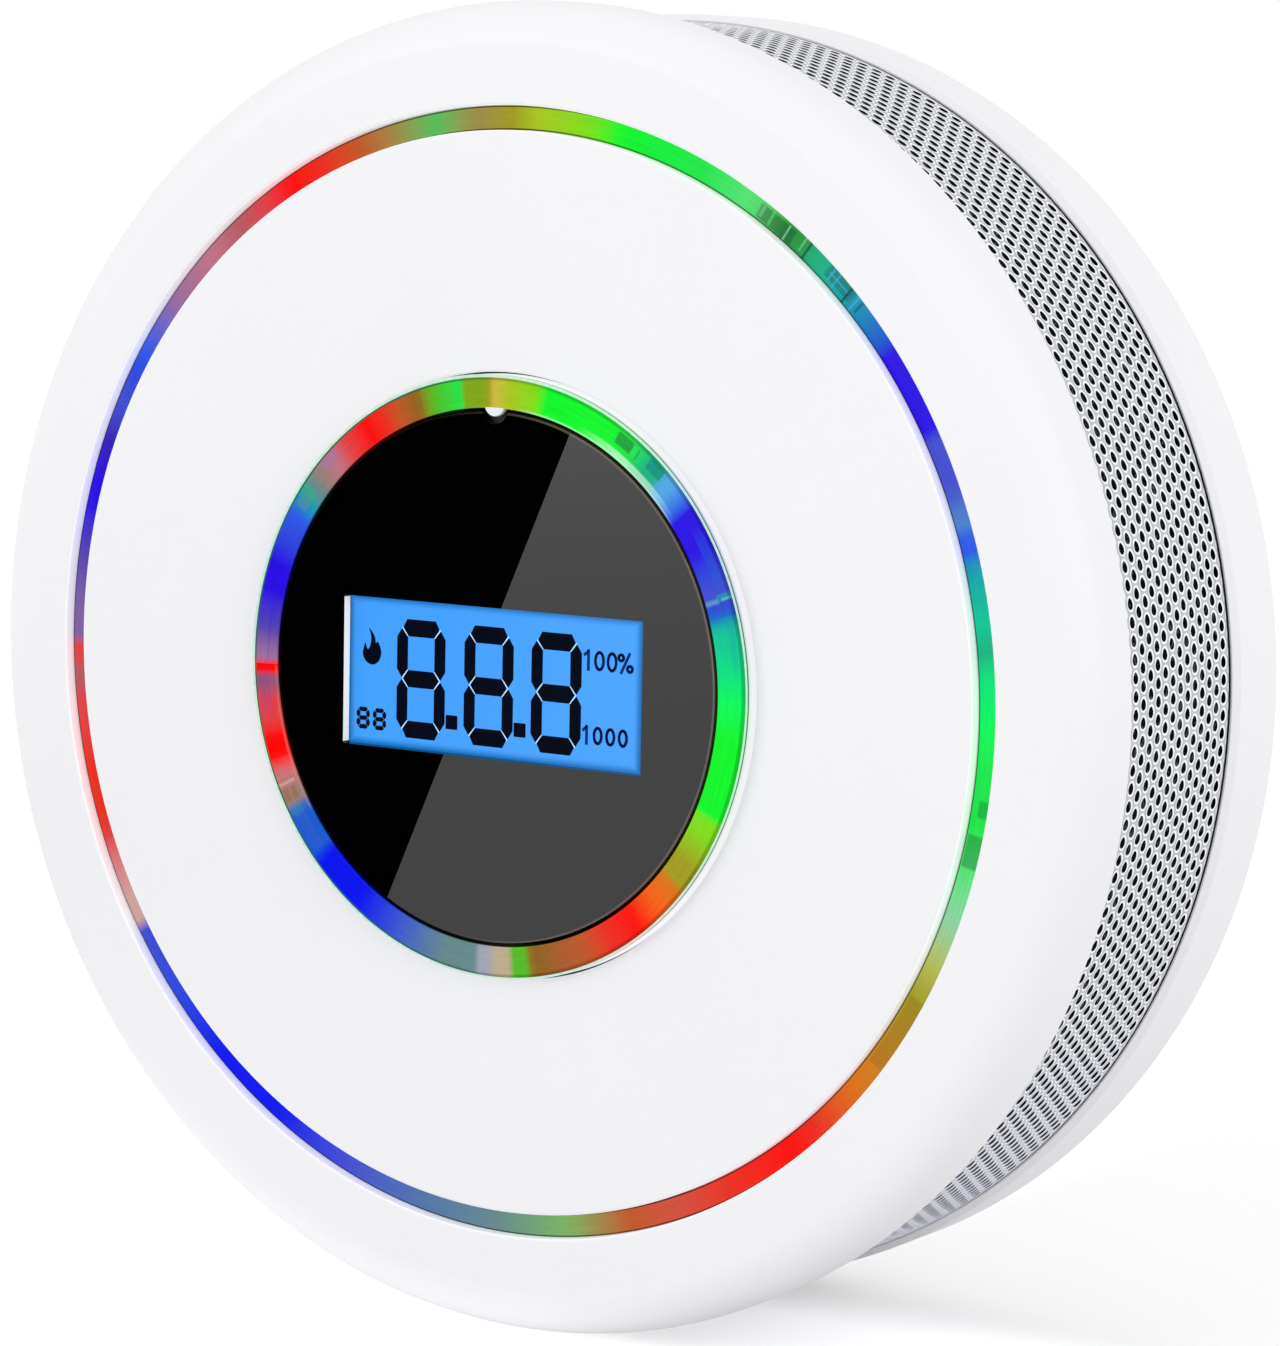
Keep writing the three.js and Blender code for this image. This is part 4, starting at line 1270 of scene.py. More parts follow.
@dataclass
class FrontShell:
    """The white bezel and the white disc between the light rings."""

    bezel_wall: float = 3.0
    bezel_fillet: float = 3.6
    rear_edge: float = 0.25
    centre_edge: float = 0.2
    screw_circle: float = 35.5
    screw_turns: tuple[float, ...] = (125.0, 215.0, 330.0)
    board_screw: float = 1.0
    board_bite: float = 5.0

    def build(self) -> None:
        """Make both shells with their skirts and screw bosses."""
        self._bezel()
        self._disc()

    def _bezel(self) -> None:
        """Turn the bezel with its soft outer edge and join its three bosses."""
        lay = LAYOUT
        ceiling = lay.face - lay.face_wall
        inner_wall = lay.radius - self.bezel_wall
        inner_fillet = self.bezel_fillet - lay.face_wall
        profile = [
            *arc((lay.radius - self.rear_edge, lay.bezel_rear + self.rear_edge), self.rear_edge,
                 -90, 0, 3),
            *arc((lay.radius - self.bezel_fillet, lay.face - self.bezel_fillet),
                 self.bezel_fillet, 0, 90, 2 * EDGE_STEPS),
            *arc((lay.groove_outer + lay.groove_edge, lay.face - lay.groove_edge),
                 lay.groove_edge, 90, 180, EDGE_STEPS),
            (lay.groove_outer, lay.skirt_end),
            (lay.groove_outer + lay.skirt_wall, lay.skirt_end),
            (lay.groove_outer + lay.skirt_wall, ceiling),
            *arc((inner_wall - inner_fillet, ceiling - inner_fillet), inner_fillet, 90, 0, EDGE_STEPS),
            (inner_wall, lay.bezel_rear),
        ]
        bosses = [Solid.bar(lay.boss_radius, lay.split + lay.seat_gap, ceiling + lay.face_wall / 2,
                            around(lay.boss_circle, turn)) for turn in lay.boss_turns]
        tip = lay.split - lay.screw_seat - lay.seat_gap + lay.screw_length
        holes = [Solid.bar(lay.screw_radius + lay.seat_gap, lay.split, tip + lay.seat_gap,
                           around(lay.boss_circle, turn)) for turn in lay.boss_turns]
        Solid.turned(profile).worked(bosses, holes).piece(
            "bezel_shell", "alarm", Stock.shell, "white_plastic", "front_bezel")

    def _disc(self) -> None:
        """Turn the face disc with both skirts and join its board bosses."""
        lay = LAYOUT
        hole = lay.ring_outer + lay.lens_gap
        ceiling = lay.face - lay.face_wall
        profile = [
            *arc((hole + self.centre_edge, lay.face - self.centre_edge), self.centre_edge, 180, 90,
                 EDGE_STEPS),
            *arc((lay.groove_inner - lay.groove_edge, lay.face - lay.groove_edge),
                 lay.groove_edge, 90, 0, EDGE_STEPS),
            (lay.groove_inner, lay.skirt_end),
            (lay.groove_inner - lay.skirt_wall, lay.skirt_end),
            (lay.groove_inner - lay.skirt_wall, ceiling),
            (hole + lay.skirt_wall, ceiling),
            (hole + lay.skirt_wall, lay.skirt_end),
            (hole, lay.skirt_end),
        ]
        places = [around(self.screw_circle, turn) for turn in self.screw_turns]
        bosses = [Solid.bar(lay.boss_radius, lay.board_front + lay.seat_gap,
                            ceiling + lay.face_wall / 2, place) for place in places]
        holes = [Solid.bar(self.board_screw + lay.seat_gap, lay.board_front,
                           lay.board_front + self.board_bite + lay.seat_gap, place) for place in places]
        Solid.turned(profile).worked(bosses, holes).piece(
            "disc_plate", "alarm", Stock.shell, "white_plastic", "face_disc")


# Light rings

@dataclass
class LightRings:
    """The two clear light guides, each lit in a run of colours."""

    recess: float = 1.0
    gap: float = 0.03
    flange_reach: float = 1.8
    inner_flange_reach: float = 3.3
    outer_edge: float = 0.04
    bevel: float = 0.2
    inner_edge: float = 0.1
    key_thickness: float = 0.6
    key_drop: float = 0.05
    key_bite: float = 0.3
    key_edge: float = 0.08
    outer_stops: tuple[tuple[float, Glow], ...] = (
        (0, Glow.OLIVE), (3, Glow.PEAR), (9, Glow.LIME), (13, Glow.GREEN), (24, Glow.FERN),
        (30, Glow.MINT), (33, Glow.LEAF), (35, Glow.PINE), (37, Glow.PINE), (40, Glow.SEA),
        (45, Glow.CYAN), (50.5, Glow.AZURE), (52, Glow.INDIGO), (60.6, Glow.INDIGO),
        (61.4, Glow.SLATE), (67, Glow.SLATE), (70, Glow.DENIM), (71.8, Glow.COBALT),
        (73.2, Glow.COBALT), (74.8, Glow.CYAN), (80, Glow.JADE), (83, Glow.SEA),
        (85.5, Glow.EMERALD), (90, Glow.SPRING), (95, Glow.FERN), (100, Glow.FERN),
        (105, Glow.MINT), (110, Glow.PALE), (115, Glow.STRAW), (119, Glow.OLIVE),
        (130, Glow.ORANGE), (137, Glow.SCARLET), (141, Glow.RED), (150, Glow.SCARLET),
        (157, Glow.BRICK), (163, Glow.RUST), (167, Glow.SAGE), (171, Glow.MOSS),
        (180, Glow.ASH), (190, Glow.STEEL), (200, Glow.SLATE), (210, Glow.BLUE),
        (220, Glow.BLUE), (229, Glow.ROYAL), (236.8, Glow.SLATE), (237.4, Glow.BLUSH),
        (240, Glow.BLUSH), (245, Glow.ROSE), (247.5, Glow.CHERRY), (249.5, Glow.SCARLET),
        (256, Glow.SCARLET), (260, Glow.CHERRY), (262.5, Glow.CHERRY), (265, Glow.TERRA),
        (266.5, Glow.TERRA), (267.3, Glow.CHERRY), (268.8, Glow.CHERRY), (269.2, Glow.HEATHER),
        (273, Glow.HEATHER), (279, Glow.PURPLE), (284.5, Glow.INDIGO), (287, Glow.INDIGO),
        (292, Glow.VIOLET), (296, Glow.SLATE), (300.5, Glow.ROYAL), (303, Glow.COBALT),
        (306, Glow.IRIS), (310, Glow.LILAC), (317, Glow.PLUM), (322, Glow.TERRA),
        (330, Glow.RED), (335, Glow.SCARLET), (340, Glow.RUST), (345, Glow.SAGE),
        (350, Glow.LEAF), (355, Glow.SAGE), (360, Glow.OLIVE))
    inner_stops: tuple[tuple[float, Glow], ...] = (
        (0, Glow.AMBER), (4, Glow.PEAR), (10, Glow.LIME), (12.5, Glow.GREEN), (29, Glow.GREEN),
        (35, Glow.FERN), (39.5, Glow.SEA), (43.3, Glow.SEA), (43.7, Glow.SKY), (46, Glow.SKY),
        (50.5, Glow.COBALT), (52, Glow.INDIGO), (60, Glow.INDIGO), (65, Glow.ROYAL),
        (69, Glow.SLATE), (70.5, Glow.ROYAL), (72.9, Glow.AZURE), (74.2, Glow.CYAN),
        (76.5, Glow.JADE), (78, Glow.JADE), (85, Glow.EMERALD), (90, Glow.SPRING),
        (97, Glow.GREEN), (112.5, Glow.GREEN), (114.5, Glow.LIME), (117, Glow.LIME),
        (124, Glow.OLIVE), (128, Glow.OLIVE), (129.7, Glow.ORANGE), (135, Glow.FLAME),
        (141, Glow.RED), (149, Glow.SCARLET), (155, Glow.RUST), (161, Glow.CHESTNUT),
        (166, Glow.BRONZE), (168.6, Glow.BRONZE), (169.6, Glow.GRASS), (173.2, Glow.GRASS),
        (174.4, Glow.SAND), (177, Glow.SAND), (180, Glow.CLOUD), (181.4, Glow.CLOUD),
        (182.2, Glow.ASH), (190, Glow.ASH), (196, Glow.STEEL), (205, Glow.ROYAL),
        (213, Glow.BLUE), (220, Glow.BLUE), (226, Glow.BLUE), (227.4, Glow.AZURE),
        (236, Glow.AZURE), (238.3, Glow.STEEL), (239, Glow.TAUPE), (241, Glow.TAUPE),
        (245, Glow.ROSE), (249, Glow.RED), (253, Glow.RED), (257, Glow.CHERRY),
        (261, Glow.CHERRY), (264, Glow.WINE), (266.5, Glow.WINE), (266.8, Glow.RED),
        (268.5, Glow.RED), (268.8, Glow.MAUVE), (271, Glow.LILAC), (276, Glow.PURPLE),
        (284, Glow.INDIGO), (290, Glow.INDIGO), (296, Glow.ROYAL), (301, Glow.COBALT),
        (305, Glow.CYAN), (309, Glow.ASH), (312, Glow.TAUPE), (316, Glow.PLUM),
        (321, Glow.CHERRY), (327, Glow.RED), (332, Glow.SCARLET), (336, Glow.RUST),
        (341, Glow.BRONZE), (345, Glow.GRASS), (351.6, Glow.FERN), (352.2, Glow.FIELD),
        (357, Glow.FIELD), (359, Glow.OLIVE), (359.2, Glow.AMBER), (360, Glow.AMBER))
    # Patches in the dark shadow tint are painted shadows of the parts behind the ring.
    outer_patches: tuple[Patch, ...] = (
        Patch(31.4, 36.3, 0.1, 0.72, Glow.SHADOW, 0.5),
        Patch(31.6, 32.0, 0.2, 0.7, Glow.PALE, 0.4, 0.1),
        Patch(32.9, 33.2, 0.15, 0.8, Glow.MINT, 0.5, 0.1),
        Patch(35.2, 35.4, 0.0, 0.75, Glow.PALE, 0.7, 0.1),
        Patch(36.3, 38.2, 0.3, 1.0, Glow.PINE, 0.7, 0.3),
        Patch(37.4, 37.6, 0.2, 0.9, Glow.PALE, 0.5, 0.1),
        Patch(38.1, 38.4, 0.0, 0.9, Glow.SHADOW, 0.7, 0.1),
        Patch(41.2, 45.2, 0.25, 0.95, Glow.SHADOW, 0.4, 0.3),
        Patch(41.8, 42.0, 0.2, 0.8, Glow.SKY, 0.7, 0.1),
        Patch(42.6, 42.8, 0.1, 0.9, Glow.SKY, 0.6, 0.1),
        Patch(41.6, 44.4, 0.48, 0.54, Glow.SKY, 0.6, 0.1),
        Patch(44.4, 44.7, 0.0, 1.0, Glow.SHADOW, 0.7, 0.1),
        Patch(45.6, 45.8, 0.0, 0.8, Glow.SKY, 0.6, 0.1),
        Patch(46.2, 46.5, 0.2, 1.0, Glow.SHADOW, 0.5, 0.1),
        Patch(97.5, 99.2, 0.35, 1.1, Glow.SHADOW, 0.4),
        Patch(101, 104.4, 0.1, 0.8, Glow.SHADOW, 0.45),
        Patch(119, 127.5, 0.15, 0.85, Glow.BRONZE, 0.4))
    inner_patches: tuple[Patch, ...] = (
        Patch(27, 46, 0.03, 0.25, Glow.GLINT, 0.5, 6.0),
        Patch(8, 50, 0.0, 0.07, Glow.GLINT, 0.4, 3.0),
        Patch(30.6, 34.8, 0.42, 0.8, Glow.PINE, 0.85),
        Patch(36.2, 36.6, 0.4, 0.75, Glow.PINE, 0.6, 0.1),
        Patch(39.3, 43.3, 0.5, 0.86, Glow.TEAL, 0.8),
        Patch(57, 68, 0.5, 0.82, Glow.AZURE, 0.35, 3.0),
        Patch(69.7, 70.4, 0.0, 0.5, Glow.PALE, 0.5, 0.6),
        Patch(69.0, 70.2, 0.45, 1.0, Glow.CYAN, 0.75, 0.4),
        Patch(69.8, 70.2, 0.6, 0.95, Glow.PALE, 0.6, 0.3),
        Patch(74, 84, 0.6, 0.78, Glow.CYAN, 0.35, 2.0),
        Patch(228, 236, 0.25, 0.65, Glow.STEEL, 0.12, 1.0),
        Patch(236, 238.4, 0.3, 0.7, Glow.CYAN, 0.3),
        Patch(239.3, 242.2, 0.22, 0.44, Glow.BRONZE, 0.45, 0.3),
        Patch(239.3, 242.2, 0.5, 0.78, Glow.BRONZE, 0.45, 0.3),
        Patch(242.9, 243.5, 0.15, 0.85, Glow.BLUSH, 0.8, 0.15),
        Patch(244, 244.3, 0.2, 0.7, Glow.TAUPE, 0.7, 0.1),
        Patch(244.2, 246.6, 0.66, 0.72, Glow.TAUPE, 0.6, 0.3),
        Patch(244.2, 246.6, 0.3, 0.66, Glow.PLUM, 0.4, 0.5),
        Patch(236, 268, 0.0, 0.06, Glow.BLUSH, 0.2, 1.0),
        Patch(258, 266.7, 0.28, 0.72, Glow.PURPLE, 0.14, 1.5),
        Patch(268.9, 284, 0.3, 0.36, Glow.VIOLET, 0.3, 1.0),
        Patch(303, 309.5, 0.3, 0.7, Glow.ASH, 0.4),
        Patch(306, 308, 0.2, 0.9, Glow.SEA, 0.5),
        Patch(313, 318, 0.45, 0.8, Glow.MAUVE, 0.4, 0.6),
        Patch(341, 342, 0.2, 0.9, Glow.BRONZE, 0.5))

    def build(self) -> None:
        """Make both rings."""
        self._outer()
        self._inner()

    def _outer(self) -> None:
        """Turn the tee-shaped ring whose stem stands in the groove."""
        lay = LAYOUT
        inner, outer = lay.groove_inner + self.gap, lay.groove_outer - self.gap
        reach, top, edge = self.flange_reach, lay.face - self.recess, self.outer_edge
        profile = [
            (inner - reach, lay.flange_rear), (outer + reach, lay.flange_rear),
            (outer + reach, lay.flange_front), (outer, lay.flange_front),
            (outer, top - edge), (outer - edge, top), (inner + edge, top), (inner, top - edge),
            (inner, lay.flange_front), (inner - reach, lay.flange_front),
        ]
        notches = [Solid.bar(lay.boss_radius + lay.seat_gap, lay.flange_rear - lay.overrun,
                             lay.flange_front + lay.overrun / 5, around(lay.boss_circle, turn))
                   for turn in lay.boss_turns]
        glow = RingGlow("outer ring glow", inner, outer, top, self.outer_stops, self.outer_patches,
                        edge_shade=0.0, line=0.06)
        Solid.turned(profile).worked(cut=notches).piece(
            "outer_ring_guide", "alarm", glow, "clear_plastic", "outer_light_ring")

    def _inner(self) -> None:
        """Turn the proud bevelled ring and make its half-round key."""
        lay = LAYOUT
        inner, outer, top = lay.ring_inner, lay.ring_outer, lay.ring_top
        profile = [
            (inner, lay.flange_rear), (outer + self.inner_flange_reach, lay.flange_rear),
            (outer + self.inner_flange_reach, lay.flange_front), (outer, lay.flange_front),
            (outer, top - self.bevel), *arc((outer - self.bevel, top - self.bevel), self.bevel,
                                            0, 90, 4)[1:],
            (inner + self.inner_edge, top), (inner, top - self.inner_edge),
        ]
        glow = RingGlow("inner ring glow", inner, outer, top, self.inner_stops, self.inner_patches,
                        rim=self.bevel, rim_glint=1.0)
        Solid.turned(profile).piece(
            "inner_ring_guide", "alarm", glow, "clear_plastic", "inner_light_ring")
        key_top = top - self.key_drop
        half = arc((0.0, inner + self.key_bite), lay.key_radius, 180, 360, 20)
        Solid.slab(half, key_top - self.key_thickness, key_top).softened(self.key_edge).piece(
            "ring_key", "alarm", Stock.diffuser, "clear_plastic")


# Display button

@dataclass
class DisplayButton:
    """The black round panel with its window, the lit display and the figures on it."""

    panel_gap: float = 0.3
    panel_drop: float = 0.1
    panel_thickness: float = 0.84
    panel_edge: float = 0.04
    window_width: float = 28.6
    window_height: float = 11.9
    window_corner: float = 0.15
    window_place: Point = (-0.1, -0.4)
    strip: float = 0.04
    strip_gap: float = 0.1
    glass_width: float = 31.5
    glass_height: float = 15.6
    glass_thickness: float = 1.1
    glass_corner: float = 0.3
    glass_edge: float = 0.12
    ink_height: float = 0.035
    digit_width: float = 4.72
    digit_height: float = 9.45
    digit_side: float = 1.05
    digit_bar: float = 1.36
    digit_places: tuple[Point, ...] = ((-7.34, -0.77), (-0.76, -0.77), (5.68, -0.77))
    point_side: float = 1.12
    point_corner: float = 0.08
    point_places: tuple[Point, ...] = ((-4.29, -3.9), (2.28, -3.93))
    small_width: float = 1.3
    small_height: float = 1.75
    small_stroke: float = 0.36
    small_places: tuple[Point, ...] = ((-13.0, -4.28), (-11.38, -4.28))
    flame_place: Point = (-12.2, 1.5)
    flame_height: float = 2.9
    mark_stroke: float = 0.24
    seam_width: float = 0.13
    mark_pitch: float = 1.17
    upper_mark: Point = (8.0, 1.3)
    upper_height: float = 1.58
    lower_mark: Point = (8.0, -4.44)
    lower_height: float = 1.44

    @property
    def top(self) -> float:
        """Depth of the panel's front."""
        return LAYOUT.ring_top - self.panel_drop

    @property
    def rear(self) -> float:
        """Depth of the panel's rear, where the glass and its figures begin."""
        return self.top - self.panel_thickness

    def build(self) -> None:
        """Make the panel, the pale strip in its window, the glass and the figures."""
        self._panel()
        self._strip()
        self._glass()
        self._figures()

    def _panel(self) -> None:
        """Turn the panel, and cut its keyway and its window."""
        top, rear = self.top, self.rear
        radius = LAYOUT.ring_inner - self.panel_gap
        edge = self.panel_edge
        profile = [(0, rear), (radius - edge, rear), (radius, rear + edge), (radius, top - edge),
                   (radius - edge, top), (0, top)]
        low, high = rear - LAYOUT.overrun, top + LAYOUT.overrun
        keyway = Solid.bar(LAYOUT.key_radius + LAYOUT.seat_gap, low, high, (0.0, LAYOUT.ring_inner))
        window = Solid.slab(
            rounded_outline(self.window_width, self.window_height, self.window_corner,
                            self.window_place), low, high)
        Solid.turned(profile).worked(cut=[keyway, window]).piece(
            "panel_lens", "display_button", Stock.lens, "black_gloss", "display_panel")

    def _strip(self) -> None:
        """Line the window's left wall with a pale strip that stops short of the glass; it glows with
        painted light, as if lit by the display.
        """
        left = self.window_place[0] - self.window_width / 2 + self.strip / 2
        Solid.block(self.strip, self.window_height - 2 * self.window_corner,
                    self.rear + self.strip_gap, self.top - self.strip,
                    (left, self.window_place[1])).piece(
            "window_strip", "display_button", Stock.strip, "white_plastic")

    def _glass(self) -> None:
        """Make the display glass with ground edges."""
        outline = rounded_outline(self.glass_width, self.glass_height, self.glass_corner,
                                  self.window_place)
        lit = LitDisplay("lit display", self.window_place, self.window_width, self.window_height)
        solid = Solid.slab(outline, self.rear - self.glass_thickness, self.rear)
        solid.softened(self.glass_edge).piece(
            "display_cell", "display_button", lit, "blue_display", "display_glass")

    def _figures(self) -> None:
        """Lay the figures on the glass: three digits, their points and the small marks."""
        outlines: list[Outline] = []
        for place in self.digit_places:
            outlines += self._digit(place, self.digit_width, self.digit_height,
                                    self.digit_side, self.digit_bar)
        outlines += [rounded_outline(self.point_side, self.point_side, self.point_corner, place, 2)
                     for place in self.point_places]
        outlines += self._flame(self.flame_place, self.flame_height)
        for place in self.small_places:
            outlines += self._digit(place, self.small_width, self.small_height,
                                    self.small_stroke, self.small_stroke, gap=0.03)
        seams = [outline for place in self.digit_places for outline in self._seams(place)]
        for name, shapes, height, finish in (
                ("display_figures", outlines, self.ink_height, Stock.ink),
                ("display_marks", self._marks(), self.ink_height, Stock.thin_ink),
                ("display_seams", seams, self.ink_height / 2, Stock.seams)):
            Solid.slabs(shapes, self.rear, self.rear + height).piece(
                name, "display_button", finish, "blue_display")

    def _seams(self, place: Point) -> list[Outline]:
        """Pale strips that show in the gaps between the segments of one digit.

        Args:
            place: Middle of the digit.

        Returns:
            One outline for each gap.
        """
        a, b, knee = self.digit_width / 2, self.digit_height / 2, self.digit_bar / 2
        inner, reach = a - self.digit_side, a - self.digit_side / 2
        lines = []
        for side in (-1, 1):
            for end in (-1, 1):
                corner = (side * inner, end * (b - self.digit_bar))
                lines.append([corner, (side * reach, end * (b - knee))])
                lines.append([(side * inner, end * knee), (side * reach, 0.0)])
        return [outline for line in lines for outline in self._stroke(
            [(place[0] + x, place[1] + z) for x, z in line], self.seam_width)]

    @staticmethod
    def _digit(place: Point, width: float, height: float, side: float, bar: float,
               gap: float = 0.06) -> list[Outline]:
        """The seven segments of one digit.

        Args:
            place: Middle of the digit.
            width: Width over its upright segments.
            height: Height over its level segments.
            side: Width of an upright segment.
            bar: Height of a level segment.
            gap: Half the gap between two segments.

        Returns:
            One outline for each segment.
        """
        a, b = width / 2, height / 2
        inner, reach, knee = a - side, a - side * 0.5, bar / 2
        level = [(-inner + gap, b - bar), (inner - gap, b - bar), (reach - gap, b - knee),
                 (reach - side * 0.42, b), (-reach + side * 0.42, b), (-reach + gap, b - knee)]
        middle = [(-inner + gap, -knee), (inner - gap, -knee), (reach - gap, 0.0),
                  (inner - gap, knee), (-inner + gap, knee), (-reach + gap, 0.0)]
        upright = [(inner, b - bar - gap), (reach + gap, b - knee - gap), (a, b - bar - gap),
                   (a, knee + gap), (reach + gap, gap), (inner, knee + gap)]
        flipped = [[(x, -z) for x, z in outline] for outline in (level, upright)]
        mirrored = [[(-x, z) for x, z in outline] for outline in (upright, flipped[1])]
        segments = [level, middle, upright, *flipped, *mirrored]
        return [[(place[0] + x, place[1] + z) for x, z in outline] for outline in segments]

    @staticmethod
    def _flame(place: Point, height: float) -> list[Outline]:
        """A plain flame mark of two tongues.

        Args:
            place: Middle of the mark.
            height: Its height.

        Returns:
            Its outlines.
        """
        body = [(-0.11, 0.5), (0.02, 0.38), (0.1, 0.24), (0.13, 0.1), (0.19, 0.15), (0.25, 0.06),
                (0.31, -0.1), (0.29, -0.28), (0.19, -0.43), (0.03, -0.5), (-0.14, -0.46),
                (-0.26, -0.35), (-0.31, -0.2), (-0.28, -0.04), (-0.23, 0.09), (-0.19, -0.03),
                (-0.13, -0.08), (-0.06, 0.03), (-0.03, 0.2), (-0.05, 0.36)]
        return [[(place[0] + x * height, place[1] + z * height) for x, z in smooth_outline(body, 4)]]

    def _marks(self) -> list[Outline]:
        """The small plain figures to the right of the digits.

        Returns:
            Their outlines.
        """
        marks: list[Outline] = []
        for place, size, last in ((self.upper_mark, self.upper_height, self._percent),
                                  (self.lower_mark, self.lower_height, self._nought)):
            for step, figure in enumerate((self._one, self._nought, self._nought, last)):
                marks += figure((place[0] + step * self.mark_pitch, place[1]), size)
        return marks

    def _stroke(self, points: Outline, width: float | None = None) -> list[Outline]:
        """A line of points given a width.

        Args:
            points: The points of the line.
            width: Its width, or the marks' stroke width.

        Returns:
            One outline for each straight run.
        """
        half = (width or self.mark_stroke) / 2
        strips = []
        for start, stop in zip(points, points[1:]):
            along = (Vector(stop) - Vector(start)).normalized() * half
            across = Vector((-along.y, along.x))
            a, b = Vector(start) - along * 0.4, Vector(stop) + along * 0.4
            strips.append([tuple(a + across), tuple(a - across), tuple(b - across), tuple(b + across)])
        return strips

    def _nought(self, place: Point, size: float) -> list[Outline]:
        """A nought.

        Args:
            place: Its lower left corner.
            size: Its height.

        Returns:
            Its outlines.
        """
        middle = (place[0] + 0.33 * size, place[1] + size / 2)
        across, tall = 0.24 * size, (size - self.mark_stroke) / 2
        loop = [(middle[0] + x * across, middle[1] + z * tall) for x, z in arc((0, 0), 1.0, 0, 360, 24)]
        return self._stroke(loop)

    def _one(self, place: Point, size: float) -> list[Outline]:
        """A one.

        Args:
            place: Its lower left corner.
            size: Its height.

        Returns:
            Its outlines.
        """
        x = place[0] + 0.42 * size
        return self._stroke([(x, place[1]), (x, place[1] + size)]) + self._stroke(
            [(x, place[1] + size * 0.95), (x - 0.24 * size, place[1] + size * 0.74)])

    def _percent(self, place: Point, size: float) -> list[Outline]:
        """A percent sign.

        Args:
            place: Its lower left corner.
            size: Its height.

        Returns:
            Its outlines.
        """
        slash = [(place[0] + 0.12 * size, place[1]), (place[0] + 0.62 * size, place[1] + size)]
        marks = self._stroke(slash)
        for x, z in ((0.12, 0.76), (0.64, 0.24)):
            middle = (place[0] + x * size, place[1] + z * size)
            marks += self._stroke(arc(middle, 0.15 * size, 0, 360, 12))
        return marks


# Side grille

